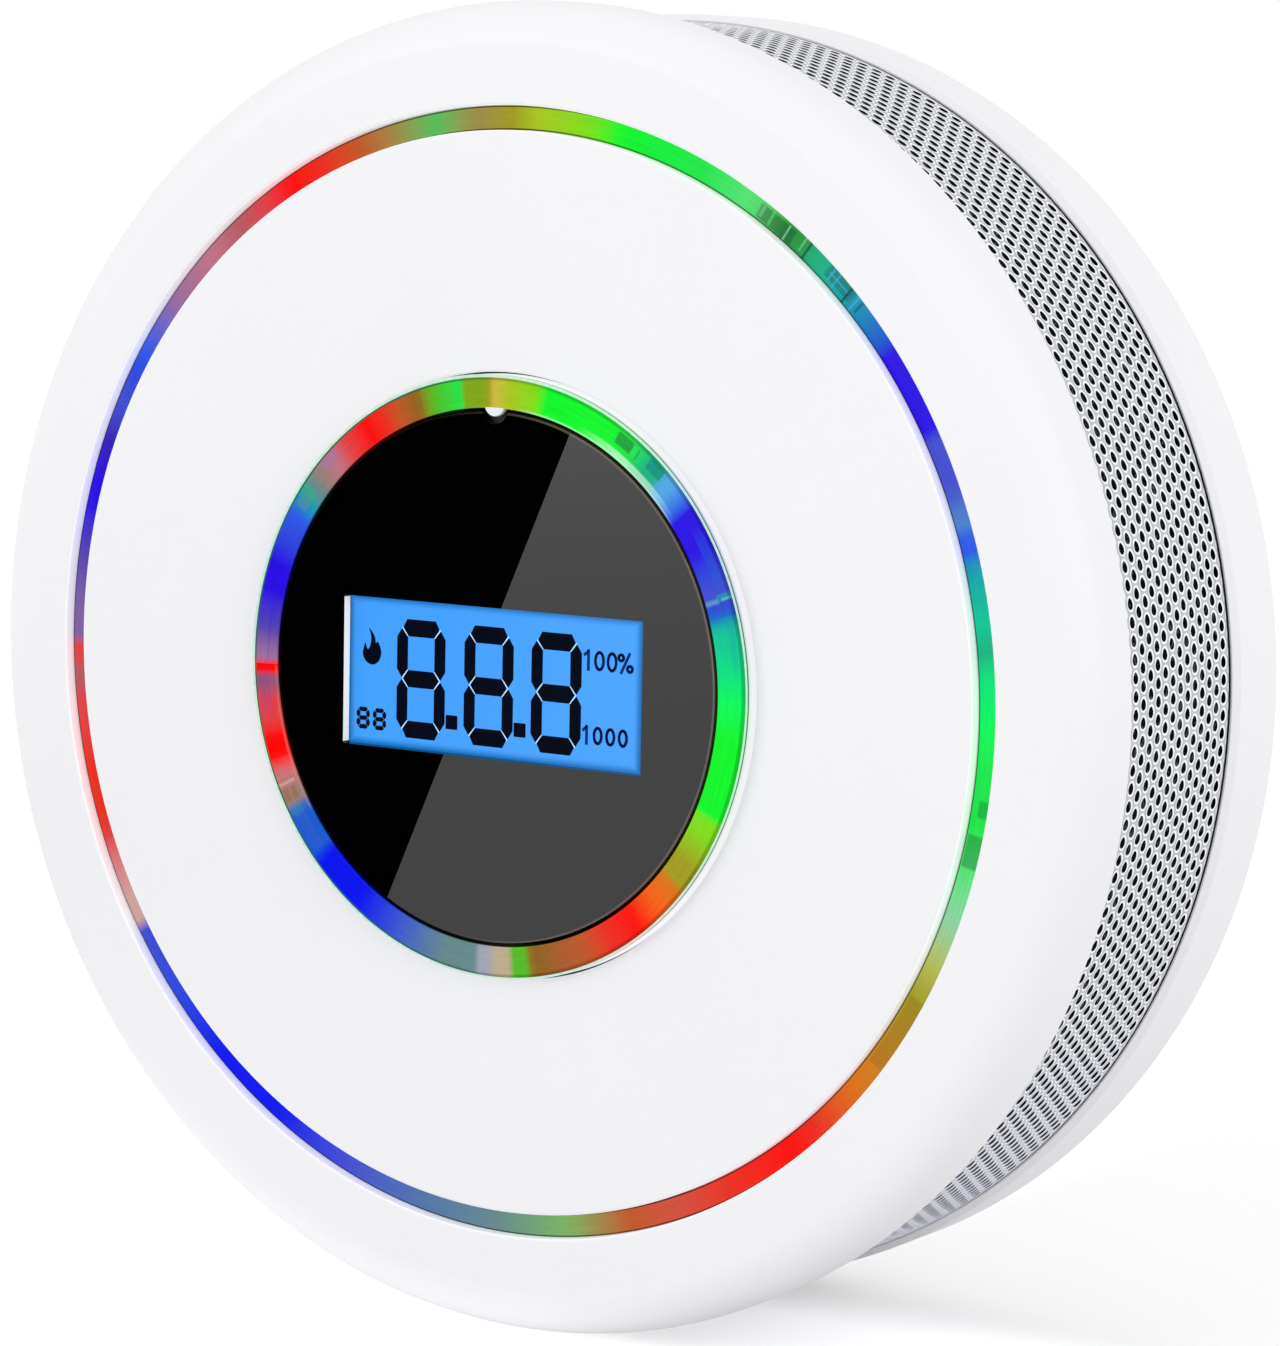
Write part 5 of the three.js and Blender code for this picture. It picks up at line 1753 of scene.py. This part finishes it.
@dataclass
class SideGrille:
    """The fine pressed mesh band round the side, as real holes between rounded strands."""

    thickness: float = 0.1
    inset: float = 1.0
    holes_around: int = 236
    rows: int = 14
    hole_length: float = 0.9
    hole_width: float = 0.78
    hole_corners: int = 12
    hole_turn: float = 210.0
    hole_taper: float = 0.18
    edge: float = 0.14
    front_edge: float = 0.6
    seal_width: float = 0.46
    seal_depth: float = 0.8
    seal_drop: float = 0.03
    seal_gap: float = 0.01
    seal_clear: float = 0.03
    seal_edge: float = 0.06
    screen_drop: float = 0.66
    screen_thickness: float = 0.1

    @property
    def outer(self) -> float:
        """The band's outer radius."""
        return LAYOUT.radius - self.inset

    @property
    def low(self) -> float:
        """Depth of the band's rear edge."""
        return LAYOUT.case_front + self.seal_width

    @property
    def high(self) -> float:
        """Depth of the band's front edge."""
        return LAYOUT.bezel_rear - LAYOUT.lens_gap

    def build(self) -> None:
        """Make the mesh band, the seal behind it and the dust screen inside it."""
        self._band()
        self._seal()
        self._screen()

    def _band(self) -> None:
        """Make the band from cells laid like bricks, each with one oval hole."""
        outer, low, high = self.outer, self.low, self.high
        start, stop = low + self.edge, high - self.front_edge
        pitch = (stop - start) / self.rows
        half_steps = 2 * self.holes_around
        layers = (outer, outer - self.thickness)
        middle = outer - self.thickness * 0.5
        points: list[Place] = []
        faces: list[list[int]] = []

        def at(radius: float, half_step: float, depth: float) -> int:
            """Add a corner.

            Args:
                radius: Its radius.
                half_step: Its turn in halves of a cell.
                depth: Its depth.

            Returns:
                Its number.
            """
            x, z = around(radius, FULL_TURN * half_step / half_steps)
            points.append((x, depth, z))
            return len(points) - 1

        lattice = [[[at(radius, step, start + pitch * row) for step in range(half_steps)]
                    for row in range(self.rows + 1)] for radius in layers]
        length_share = self.hole_length / (2 * math.pi * outer) * half_steps / 2
        for row in range(self.rows):
            depth = start + pitch * (row + 0.5)
            for cell in range(self.holes_around):
                first = 2 * cell + row % 2
                ring = []
                for corner in range(self.hole_corners):
                    turn = self.hole_turn + FULL_TURN * corner / self.hole_corners
                    along, across = around(1.0, turn)
                    taper = 1 - self.hole_taper * along
                    ring.append(at(middle, first + 1 + along * length_share,
                                   depth + across * taper * self.hole_width / 2))
                for grid in lattice:
                    below = [grid[row][(first + step) % half_steps] for step in range(3)]
                    above = [grid[row + 1][(first + step) % half_steps] for step in (2, 1, 0)]
                    faces += self._web(below + above, ring)
        for row, depth in ((0, low), (self.rows, high)):
            rims = [[at(radius, step, depth) for step in range(half_steps)] for radius in layers]
            for step in range(half_steps):
                after = (step + 1) % half_steps
                for grid, rim in zip(lattice, rims):
                    faces.append([grid[row][step], grid[row][after], rim[after], rim[step]])
                faces.append([rims[0][step], rims[0][after], rims[1][after], rims[1][step]])
        paint_finish = PressedMesh(
            "painted mesh", crest=outer, start=start, pitch=pitch, holes_around=self.holes_around,
            hole_length=self.hole_length, hole_width=self.hole_width)
        Solid(points, faces).piece("mesh_band", "alarm", paint_finish, "grey_mesh", "side_grille",
                                   crease=75.0)

    @staticmethod
    def _web(border: list[int], ring: list[int]) -> list[list[int]]:
        """The faces between a cell's border and its hole.

        Args:
            border: Corner numbers round the cell.
            ring: Corner numbers round the hole, as many or a multiple.

        Returns:
            One face for each side of the cell.
        """
        span = len(ring) // len(border)
        return [[border[side], border[(side + 1) % len(border)],
                 *(ring[(side * span + step) % len(ring)] for step in range(span, -1, -1))]
                for side in range(len(border))]

    def _seal(self) -> None:
        """Turn the dark ring between the mesh and the rear case, which keeps the gap there dark."""
        radius, low = self.outer - self.seal_drop, LAYOUT.case_front + self.seal_gap
        high = self.low - self.seal_clear
        profile = [(radius - self.seal_depth, low), (radius, low), (radius, high - self.seal_edge),
                   (radius - self.seal_edge, high), (radius - self.seal_depth, high)]
        Solid.turned(profile).piece("mesh_seal", "alarm", Stock.dark, "black_plastic")

    def _screen(self) -> None:
        """Turn the dark dust screen that lines the mesh from inside; it also stands for the shade
        inside, so the holes read dark.
        """
        radius = self.outer - self.screen_drop
        inner = radius - self.screen_thickness
        profile = [(inner, self.low), (radius, self.low), (radius, self.high), (inner, self.high)]
        Solid.turned(profile).piece("dust_screen", "alarm", Stock.cloth, "black_plastic")


# Rear case, battery door and wall bracket

@dataclass
class RearShell:
    """The rear tray with the battery bay, hook slots and screw wells, and its battery door."""

    inset: float = 0.4
    fillet: float = 2.3
    wall: float = 2.6
    front_edge: float = 0.5
    bay_wall: float = 2.0
    bay_floor: float = 1.5
    bay_slack: float = 0.4
    cell_radius: float = 8.5
    cell_length: float = 34.5
    spring_length: float = 5.0
    plate_thickness: float = 0.5
    door_drop: float = 6.55
    door_thickness: float = 1.6
    door_overlap: float = 1.2
    door_corner: float = 0.5
    barrel: float = 1.5
    hinge_drop: float = 0.7
    pin_radius: float = 0.9
    pin_length: float = 1.5
    ear: float = 2.2
    hook_slack: float = 0.5
    screw_head: float = 2.15
    latch_width: float = 8.0
    latch_thickness: float = 0.6
    latch_depth: float = 3.0
    latch_gap: float = 0.5
    edge: float = 0.12
    scoop_width: float = 10.0
    scoop_height: float = 3.4
    scoop_depth: float = 0.6

    @property
    def bay_ceiling(self) -> float:
        """Depth of the battery bay's ceiling."""
        return LAYOUT.board_rear - LAYOUT.seat_gap - self.bay_floor

    @property
    def cell_depth(self) -> float:
        """Depth of the cell's axis."""
        return self.bay_ceiling - self.bay_slack - self.cell_radius

    @property
    def bay_half_height(self) -> float:
        """Half the bay's height."""
        return self.cell_radius + self.bay_slack + LAYOUT.seat_gap / 2

    @property
    def door_top(self) -> float:
        """Height of the door's upper edge."""
        return -LAYOUT.bridge_drop - self.door_drop

    @property
    def bay_height(self) -> float:
        """Height of the cell's axis."""
        return self.door_top - self.door_overlap - self.bay_half_height

    @property
    def bay_length(self) -> float:
        """Length of the bay along X."""
        return (self.cell_length + self.spring_length + 2 * self.plate_thickness
                + 6 * LAYOUT.seat_gap)

    @property
    def door_width(self) -> float:
        """Width of the door."""
        return self.bay_length + 2 * (self.bay_wall - self.door_overlap)

    @property
    def hinge_z(self) -> float:
        """Height of the door's hinge."""
        return self.bay_height - self.bay_half_height - self.bay_wall - self.hinge_drop

    @property
    def hinge_depth(self) -> float:
        """Depth of the door's hinge."""
        return LAYOUT.case_back + self.door_thickness

    def build(self) -> None:
        """Make the tray and the door."""
        self._tray()
        self._door()

    def _tray(self) -> None:
        """Turn the tray, join what stands in it and cut its openings."""
        lay = LAYOUT
        radius = lay.radius - self.inset
        inner = radius - self.wall
        profile = [
            (0, lay.case_back),
            *arc((radius - self.fillet, lay.case_back + self.fillet), self.fillet, -90, 0,
                 2 * EDGE_STEPS),
            (radius, lay.case_front - self.front_edge),
            (radius - self.front_edge, lay.case_front),
            (inner, lay.case_front), (inner, lay.case_inside), (0, lay.case_inside),
        ]
        bite = lay.case_inside - lay.back_wall / 2
        bay_place = (0.0, self.bay_height)
        joined = [Solid.block(self.bay_length + 2 * self.bay_wall,
                              2 * (self.bay_half_height + self.bay_wall), bite,
                              lay.board_rear - lay.seat_gap, bay_place)]
        side_shift = self.door_width / 2 + lay.seat_gap + self.ear / 2
        joined += [Solid.block(self.ear, 2 * self.ear, lay.case_back, self.hinge_depth + self.ear,
                               (side * side_shift, self.hinge_z)) for side in (-1, 1)]
        joined += [Solid.bar(lay.boss_radius, bite, lay.split, around(lay.boss_circle, turn))
                   for turn in lay.boss_turns]
        out = lay.case_back - lay.overrun
        recess_top = self.door_top + lay.seat_gap
        recess_bottom = self.hinge_z - self.door_thickness - lay.seat_gap
        recess_width = self.door_width + 2 * lay.seat_gap
        barrel_top = self.hinge_z + self.barrel + lay.seat_gap
        cut = [
            Solid.block(self.bay_length, 2 * self.bay_half_height, out, self.bay_ceiling, bay_place),
            Solid.block(recess_width, recess_top - recess_bottom, out, lay.case_inside,
                        (0.0, (recess_top + recess_bottom) / 2)),
            Solid.block(recess_width, barrel_top - recess_bottom, out,
                        self.hinge_depth + self.barrel + lay.seat_gap,
                        (0.0, (barrel_top + recess_bottom) / 2)),
        ]
        pin_reach = self.pin_length + 2 * lay.seat_gap
        for side in (-1, 1):
            middle = side * (self.door_width / 2 + self.pin_length / 2 + lay.seat_gap)
            cut.append(Solid.bar(self.pin_radius + lay.seat_gap, -pin_reach / 2, pin_reach / 2)
                       .laid_along_x((middle, self.hinge_depth, self.hinge_z)))
        hook_inner = lay.bracket_opening + lay.hook_inset
        for turn in lay.hook_turns:
            far = turn + lay.hook_stem_turn / 2 + self.hook_slack
            near = far - lay.hook_stem_turn - lay.hook_head_turn - 2 * self.hook_slack
            cut.append(Solid.slab(
                sector_outline(hook_inner - lay.seat_gap, hook_inner + lay.hook_thickness + lay.seat_gap,
                               near, far), out, lay.case_inside + lay.overrun))
        seat = lay.split - lay.screw_seat
        for turn in lay.boss_turns:
            place = around(lay.boss_circle, turn)
            cut.append(Solid.bar(self.screw_head + lay.seat_gap, out, seat, place))
            cut.append(Solid.bar(lay.screw_radius + lay.seat_gap, out, lay.split + lay.overrun, place))
        Solid.turned(profile).worked(joined, cut).piece(
            "case_tray", "alarm", Stock.rear_shell, "white_plastic", "rear_case")

    def _door(self) -> None:
        """Make the door: a plate with a hinge barrel, pins, a latch tongue and a thumb scoop."""
        lay = LAYOUT
        middle = (self.door_top + self.hinge_z) / 2
        plate = Solid.slab(
            rounded_outline(self.door_width, self.door_top - self.hinge_z, self.door_corner,
                            (0.0, middle)), lay.case_back, self.hinge_depth)
        half = self.door_width / 2
        barrel = Solid.bar(self.barrel, -half, half).laid_along_x(
            (0.0, self.hinge_depth, self.hinge_z))
        pins = Solid.bar(self.pin_radius, -half - self.pin_length, half + self.pin_length)
        pins.laid_along_x((0.0, self.hinge_depth, self.hinge_z))
        tongue_top = self.bay_height + self.bay_half_height - self.latch_gap
        tongue = Solid.block(
            self.latch_width, self.latch_thickness, self.hinge_depth - self.door_thickness / 2,
            self.hinge_depth + self.latch_depth, (0.0, tongue_top - self.latch_thickness / 2))
        scoop = Solid.slab(
            slot_outline(self.scoop_height, self.scoop_width,
                         (0.0, self.door_top - self.scoop_height)),
            lay.case_back - lay.overrun, lay.case_back + self.scoop_depth)
        plate.worked([barrel, pins, tongue], [scoop]).softened(self.edge, angle=50.0).piece(
            "door_plate", "battery_door", Stock.rear_shell, "white_plastic", "battery_door")


@dataclass
class WallBracket:
    """The wall bracket: ring, upper plate with screw slots and three twist-lock hooks."""

    scallop: float = 3.4
    slot_width: float = 3.9
    slot_length: float = 9.4
    slot_spread: float = 26.0
    slot_height: float = 8.0
    slot_top: float = 30.0
    hook_head: float = 1.5
    edge: float = 0.15
    rim_edge: float = 0.2

    def build(self) -> None:
        """Make the bracket."""
        lay = LAYOUT
        reach = (lay.bracket_opening + lay.bracket_outer) / 2
        edge_turn = math.degrees(math.asin(lay.bridge_drop / reach))
        ring = Solid.turned([(lay.bracket_opening, 0.0), (lay.bracket_outer, 0.0),
                             (lay.bracket_outer, lay.bracket - self.rim_edge),
                             (lay.bracket_outer - self.rim_edge, lay.bracket),
                             (lay.bracket_opening, lay.bracket)])
        plate = Solid.slab(arc((0.0, 0.0), reach, -edge_turn, 180 + edge_turn, 96), 0.0, lay.bracket)
        inner = lay.bracket_opening + lay.hook_inset
        outer = inner + lay.hook_thickness
        head_rear = lay.case_inside + lay.seat_gap
        joined = [plate]
        for turn in lay.hook_turns:
            half = lay.hook_stem_turn / 2
            joined.append(Solid.slab(
                sector_outline(inner, outer, turn - half, turn + half), 0.0,
                head_rear + self.hook_head))
            joined.append(Solid.slab(
                sector_outline(inner, outer, turn, turn + half + lay.hook_head_turn), head_rear,
                head_rear + self.hook_head))
        slots = [slot_outline(self.slot_width, self.slot_length,
                              (side * self.slot_spread, self.slot_height)) for side in (-1, 1)]
        slots.append(slot_outline(self.slot_width, self.slot_length, (0.0, self.slot_top), True))
        cut = [Solid.slab(outline, -lay.overrun, lay.bracket + lay.overrun) for outline in slots]
        cut += [Solid.bar(self.scallop, -lay.overrun, lay.bracket + lay.overrun,
                          around(lay.boss_circle, turn)) for turn in lay.boss_turns]
        ring.worked(joined, cut).softened(self.edge, angle=50.0).piece(
            "bracket_plate", "bracket", Stock.rear_shell, "white_plastic", "mounting_bracket")


# Battery

@dataclass
class Battery:
    """The cell in its wrap and the conical spring."""

    nub_radius: float = 3.0
    nub_length: float = 1.2
    nub_edge: float = 0.2
    edge: float = 0.6
    spring_wide: float = 5.4
    spring_narrow: float = 3.2
    spring_wire: float = 0.7
    spring_turns: int = 4
    steps_per_turn: int = 40
    wire_sides: int = 10
    shell: RearShell = field(default_factory=RearShell)

    @property
    def tail(self) -> float:
        """Where the cell ends along X, next to the spring."""
        shell = self.shell
        return shell.bay_length / 2 - shell.plate_thickness - 2 * LAYOUT.seat_gap - shell.cell_length

    def build(self) -> None:
        """Make the cell and the spring."""
        self._cell()
        self._spring()

    def _cell(self) -> None:
        """Turn the cell with its rolled edges and raised tip."""
        shell = self.shell
        radius, shoulder = shell.cell_radius, shell.cell_length - self.nub_length
        profile = [
            (0, 0), *arc((radius - self.edge, self.edge), self.edge, -90, 0, 6),
            *arc((radius - self.edge, shoulder - self.edge), self.edge, 0, 90, 6),
            (self.nub_radius, shoulder), (self.nub_radius, shell.cell_length - self.nub_edge),
            (self.nub_radius - self.nub_edge, shell.cell_length), (0, shell.cell_length),
        ]
        Solid.turned(profile, 96).laid_along_x((self.tail, shell.cell_depth, shell.bay_height)).piece(
            "cell_body", "alarm", Stock.wrap, "cell_wrap", "battery_cell")

    def _spring(self) -> None:
        """Sweep the spring's round wire along its cone."""
        shell = self.shell
        tail = self.tail - LAYOUT.seat_gap - shell.spring_length
        sides = self.wire_sides
        steps = self.spring_turns * self.steps_per_turn
        wire = self.spring_wire / 2
        points: list[Place] = []
        for step in range(steps + 1):
            share = step / steps
            radius = self.spring_wide + (self.spring_narrow - self.spring_wide) * share
            turn = share * self.spring_turns * FULL_TURN
            along = tail + wire + share * (shell.spring_length - self.spring_wire)
            for side in range(sides):
                out, forth = around(wire, FULL_TURN * side / sides)
                depth, height = around(radius + out, turn)
                points.append((along + forth, shell.cell_depth - depth, shell.bay_height + height))
        faces = [[step * sides + side, step * sides + (side + 1) % sides,
                  (step + 1) * sides + (side + 1) % sides, (step + 1) * sides + side]
                 for step in range(steps) for side in range(sides)]
        faces.append(list(range(sides)))
        faces.append([steps * sides + side for side in reversed(range(sides))])
        Solid(points, faces).piece(
            "spring_coil", "alarm", Stock.spring_steel, "steel", "battery_spring")


# What stays as the frame gives it

@dataclass
class FrameDress:
    """Better materials for the frame's own nodes, most of them inside the alarm."""

    finishes: dict[str, Finish] = field(default_factory=lambda: {
        "grille_cage": Stock.black, "display_backlight": Stock.diffuser,
        "button_carrier": Stock.black, "display_ribbon": Stock.film,
        "ribbon_socket": Stock.black, "switch_body": Stock.black,
        "switch_plunger": Stock.diffuser, "contact_plate": Stock.steel,
        "main_board": Stock.board, "controller_chip": Stock.resin,
        "storage_capacitor": Stock.resin, "gas_sensor": Stock.steel,
        "gas_filter_cap": Stock.diffuser, "smoke_chamber": Stock.black,
        "infrared_lamp": Stock.diffuser, "photodiode": Stock.resin,
        "sounder_housing": Stock.black, "sounder_disc": Stock.brass,
        "case_screw": Stock.steel, "board_screw": Stock.steel,
        "outer_lamp": Stock.diffuser, "inner_lamp": Stock.diffuser,
    })

    def dress(self) -> None:
        """Give each node that still shows the finish whose name it starts with."""
        for name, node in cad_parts.items():
            for start, finish in self.finishes.items():
                if name.startswith(start):
                    for slot in node.material_slots:
                        slot.material = made(finish)
                    log.info("%s keeps its mesh, in %s", name, finish.name)


# Camera and studio

@dataclass
class PhotoCamera:
    """The camera, fitted to the ring edges in the photograph."""

    azimuth: float = 33.69
    elevation: float = 6.81
    roll: float = 1.10
    distance: float = 355.33
    right: float = 11.104
    up: float = 0.355
    focal_pixels: float = 4548.0
    image_height: float = 1346.0
    sensor: float = 36.0
    nearest: float = 0.01

    def view(self) -> tuple[Vector, Vector, Vector, Vector]:
        """Where the camera stands and looks.

        Returns:
            Its right, up and back directions, and its place in metres.
        """
        a, e, r = (math.radians(angle) for angle in (self.azimuth, self.elevation, self.roll))
        back = Vector((math.sin(a) * math.cos(e), -math.cos(a) * math.cos(e), math.sin(e)))
        level = Vector((math.cos(a), math.sin(a), 0.0))
        upward = back.cross(level)
        right = level * math.cos(r) + upward * math.sin(r)
        up = upward * math.cos(r) - level * math.sin(r)
        place = back * self.distance + right * self.right + up * self.up
        place += Vector((0.0, -LAYOUT.face, 0.0))
        return right, up, back, place * MILLIMETRE

    def build(self) -> None:
        """Make the camera."""
        right, up, back, place = self.view()
        data = bpy.data.cameras.new("photo_camera")
        data.sensor_width = self.sensor
        data.lens = self.sensor * self.focal_pixels / self.image_height
        data.clip_start = self.nearest
        camera = bpy.data.objects.new("photo_camera", data)
        turned = Matrix((right, up, back)).transposed().to_4x4()
        camera.matrix_world = Matrix.Translation(place) @ turned
        bpy.context.scene.collection.objects.link(camera)
        bpy.context.scene.camera = camera
        log.info("camera with a %.1f mm lens", data.lens)


@dataclass(frozen=True)
class Lamp:
    """A soft square lamp that looks at the alarm: place and side in metres, power in watts."""

    name: str
    place: Place
    side: float
    power: float

    def build(self) -> None:
        """Make the lamp."""
        data = bpy.data.lights.new(self.name, "AREA")
        data.size = self.side
        data.energy = self.power
        lamp = bpy.data.objects.new(self.name, data)
        lamp.location = self.place
        lamp.rotation_euler = (-Vector(self.place)).to_track_quat("-Z", "Y").to_euler()
        bpy.context.scene.collection.objects.link(lamp)


@dataclass
class Studio:
    """Pale floor, white surround, soft lamps and a dark card that the lens reflects."""

    lamps: tuple[Lamp, ...] = (Lamp("key_lamp", (-0.95, -1.5, 0.2), 1.2, 9.3),
                               Lamp("side_lamp", (1.6, -0.45, 0.4), 1.6, 8.8))
    floor_size: float = 8.0
    floor_drop: float = 0.02
    floor_grey: float = 0.8
    floor_cloud: float = 0.98
    floor_lift: float = 0.26
    far_lift: float = 0.3
    far_fade: Point = (0.2, 1.2)
    # Painted light on the floor, for the camera only, on the left of the alarm and in front of it.
    left_painted_light: float = 0.4
    left_fade: Point = (-12.0, 14.0)
    front_painted_light: float = 0.33
    front_fade: Point = (5.0, 17.0)
    fill: float = 0.87
    card_distance: float = 0.12
    card_edge: tuple[Point, Point] = ((7.25, 19.75), (-9.98, -18.83))
    card_left: float = 80.0
    card_overhang: float = 0.8
    card_tint: Colour = paint("050505")

    def build(self) -> None:
        """Make the world, the floor, the lamps and the card."""
        bpy.context.scene.view_settings.view_transform = "Standard"
        self._world()
        self._floor()
        for lamp in self.lamps:
            lamp.build()
        self._card()

    def _world(self) -> None:
        """A surround that is white to the eye and to gloss, and a softer fill light."""
        world = bpy.data.worlds.new("surround")
        bpy.context.scene.world = world
        recipe = Recipe(world)
        seen, glossy, clear = recipe.values(
            recipe.add("ShaderNodeLightPath"), ("Is Camera Ray", "Is Glossy Ray", "Is Transmission Ray"))
        strength = recipe.node("ShaderNodeMapRange", sockets={
            "Value": seen.most(glossy).most(clear), "To Min": self.fill, "To Max": 1.0})
        light = recipe.node("ShaderNodeBackground", sockets={"Color": WHITE, "Strength": strength})
        recipe.ended(light, "ShaderNodeOutputWorld")

    @staticmethod
    def _sheet(name: str, corners: Sequence[Place | Vector]) -> bpy.types.Object:
        """A flat sheet in the scene.

        Args:
            name: Its name.
            corners: Its four corners, in metres.

        Returns:
            The sheet.
        """
        mesh = bpy.data.meshes.new(name)
        mesh.from_pydata([tuple(corner) for corner in corners], [], [(0, 1, 2, 3)])
        sheet = bpy.data.objects.new(name, mesh)
        bpy.context.scene.collection.objects.link(sheet)
        return sheet

    def _floor(self) -> None:
        """A pale floor that reads white where no shadow falls; for the camera, painted light on the
        left of the alarm and in front of it takes its shadow away there.
        """
        half = self.floor_size / 2
        height = -(LAYOUT.radius + self.floor_drop) * MILLIMETRE
        floor = self._sheet("floor", [(-half, -half, height), (half, -half, height),
                                      (half, half, height), (-half, half, height)])
        recipe = Recipe("pale floor")
        cloud = recipe.noise(300.0, detail=2.0)
        grey = dimmed(WHITE, self.floor_grey)
        matt = recipe.node("ShaderNodeBsdfDiffuse", sockets={
            "Color": recipe.mixed(cloud * 0.1, grey, dimmed(grey, self.floor_cloud))})
        radius = recipe.node("ShaderNodeVectorMath", {"operation": "LENGTH"},
                             {0: recipe.position()}, "Value")
        x, depth, _ = recipe.axes()
        # Painted light for the camera on the left of the alarm and in front of it, which takes its
        # shadow away there.
        left = 1 - x.rise(*self.left_fade)
        front = depth.rise(*self.front_fade) * (1 - left)
        seen, glossy = recipe.values(recipe.add("ShaderNodeLightPath"),
                                     ("Is Camera Ray", "Is Glossy Ray"))
        lift = recipe.node("ShaderNodeEmission", sockets={
            "Color": WHITE,
            "Strength": (self.floor_lift + radius.rise(*self.far_fade) * self.far_lift
                         + (left * self.left_painted_light + front * self.front_painted_light) * seen)})
        lifted = recipe.node("ShaderNodeAddShader", sockets={0: matt, 1: lift})
        mix = recipe.node("ShaderNodeMixShader", sockets={0: seen.most(glossy), 1: matt, 2: lifted})
        floor.data.materials.append(recipe.ended(mix))

    def _card(self) -> None:
        """A dark card, seen only in gloss, whose slanted edge the lens reflects."""
        _, _, _, eye = PhotoCamera().view()
        depth = DisplayButton().top
        corners = []
        for left in (0.0, self.card_left):
            for spot in self.card_edge:
                point = Vector((spot[0], -depth, spot[1])) * MILLIMETRE
                ray = (point - eye).normalized()
                ray.y = -ray.y
                corners.append(point + ray * self.card_distance
                               - Vector((left * MILLIMETRE, 0.0, 0.0)))
        along = (corners[0] - corners[1]) * self.card_overhang
        card = self._sheet("dark_card", [corners[0] + along, corners[1] - along,
                                         corners[3] - along, corners[2] + along])
        card.visible_camera = False
        card.visible_diffuse = False
        card.visible_shadow = False
        card.visible_transmission = False
        recipe = Recipe("dark card")
        felt = recipe.noise(2.0)
        card.data.materials.append(recipe.finish({
            "Base Color": recipe.lit(self.card_tint, felt), "Roughness": 1.0,
            "Specular IOR Level": 0.0}))


def main() -> None:
    """Build the camera, the studio and each sub-assembly in order."""
    logging.basicConfig(level=logging.INFO, format="%(message)s")
    PhotoCamera().build()
    Studio().build()
    for assembly in (FrontShell(), LightRings(), DisplayButton(), SideGrille(), RearShell(),
                     WallBracket(), Battery()):
        log.info("building %s", type(assembly).__name__)
        assembly.build()
    FrameDress().dress()


if __name__ == "__main__":
    main()
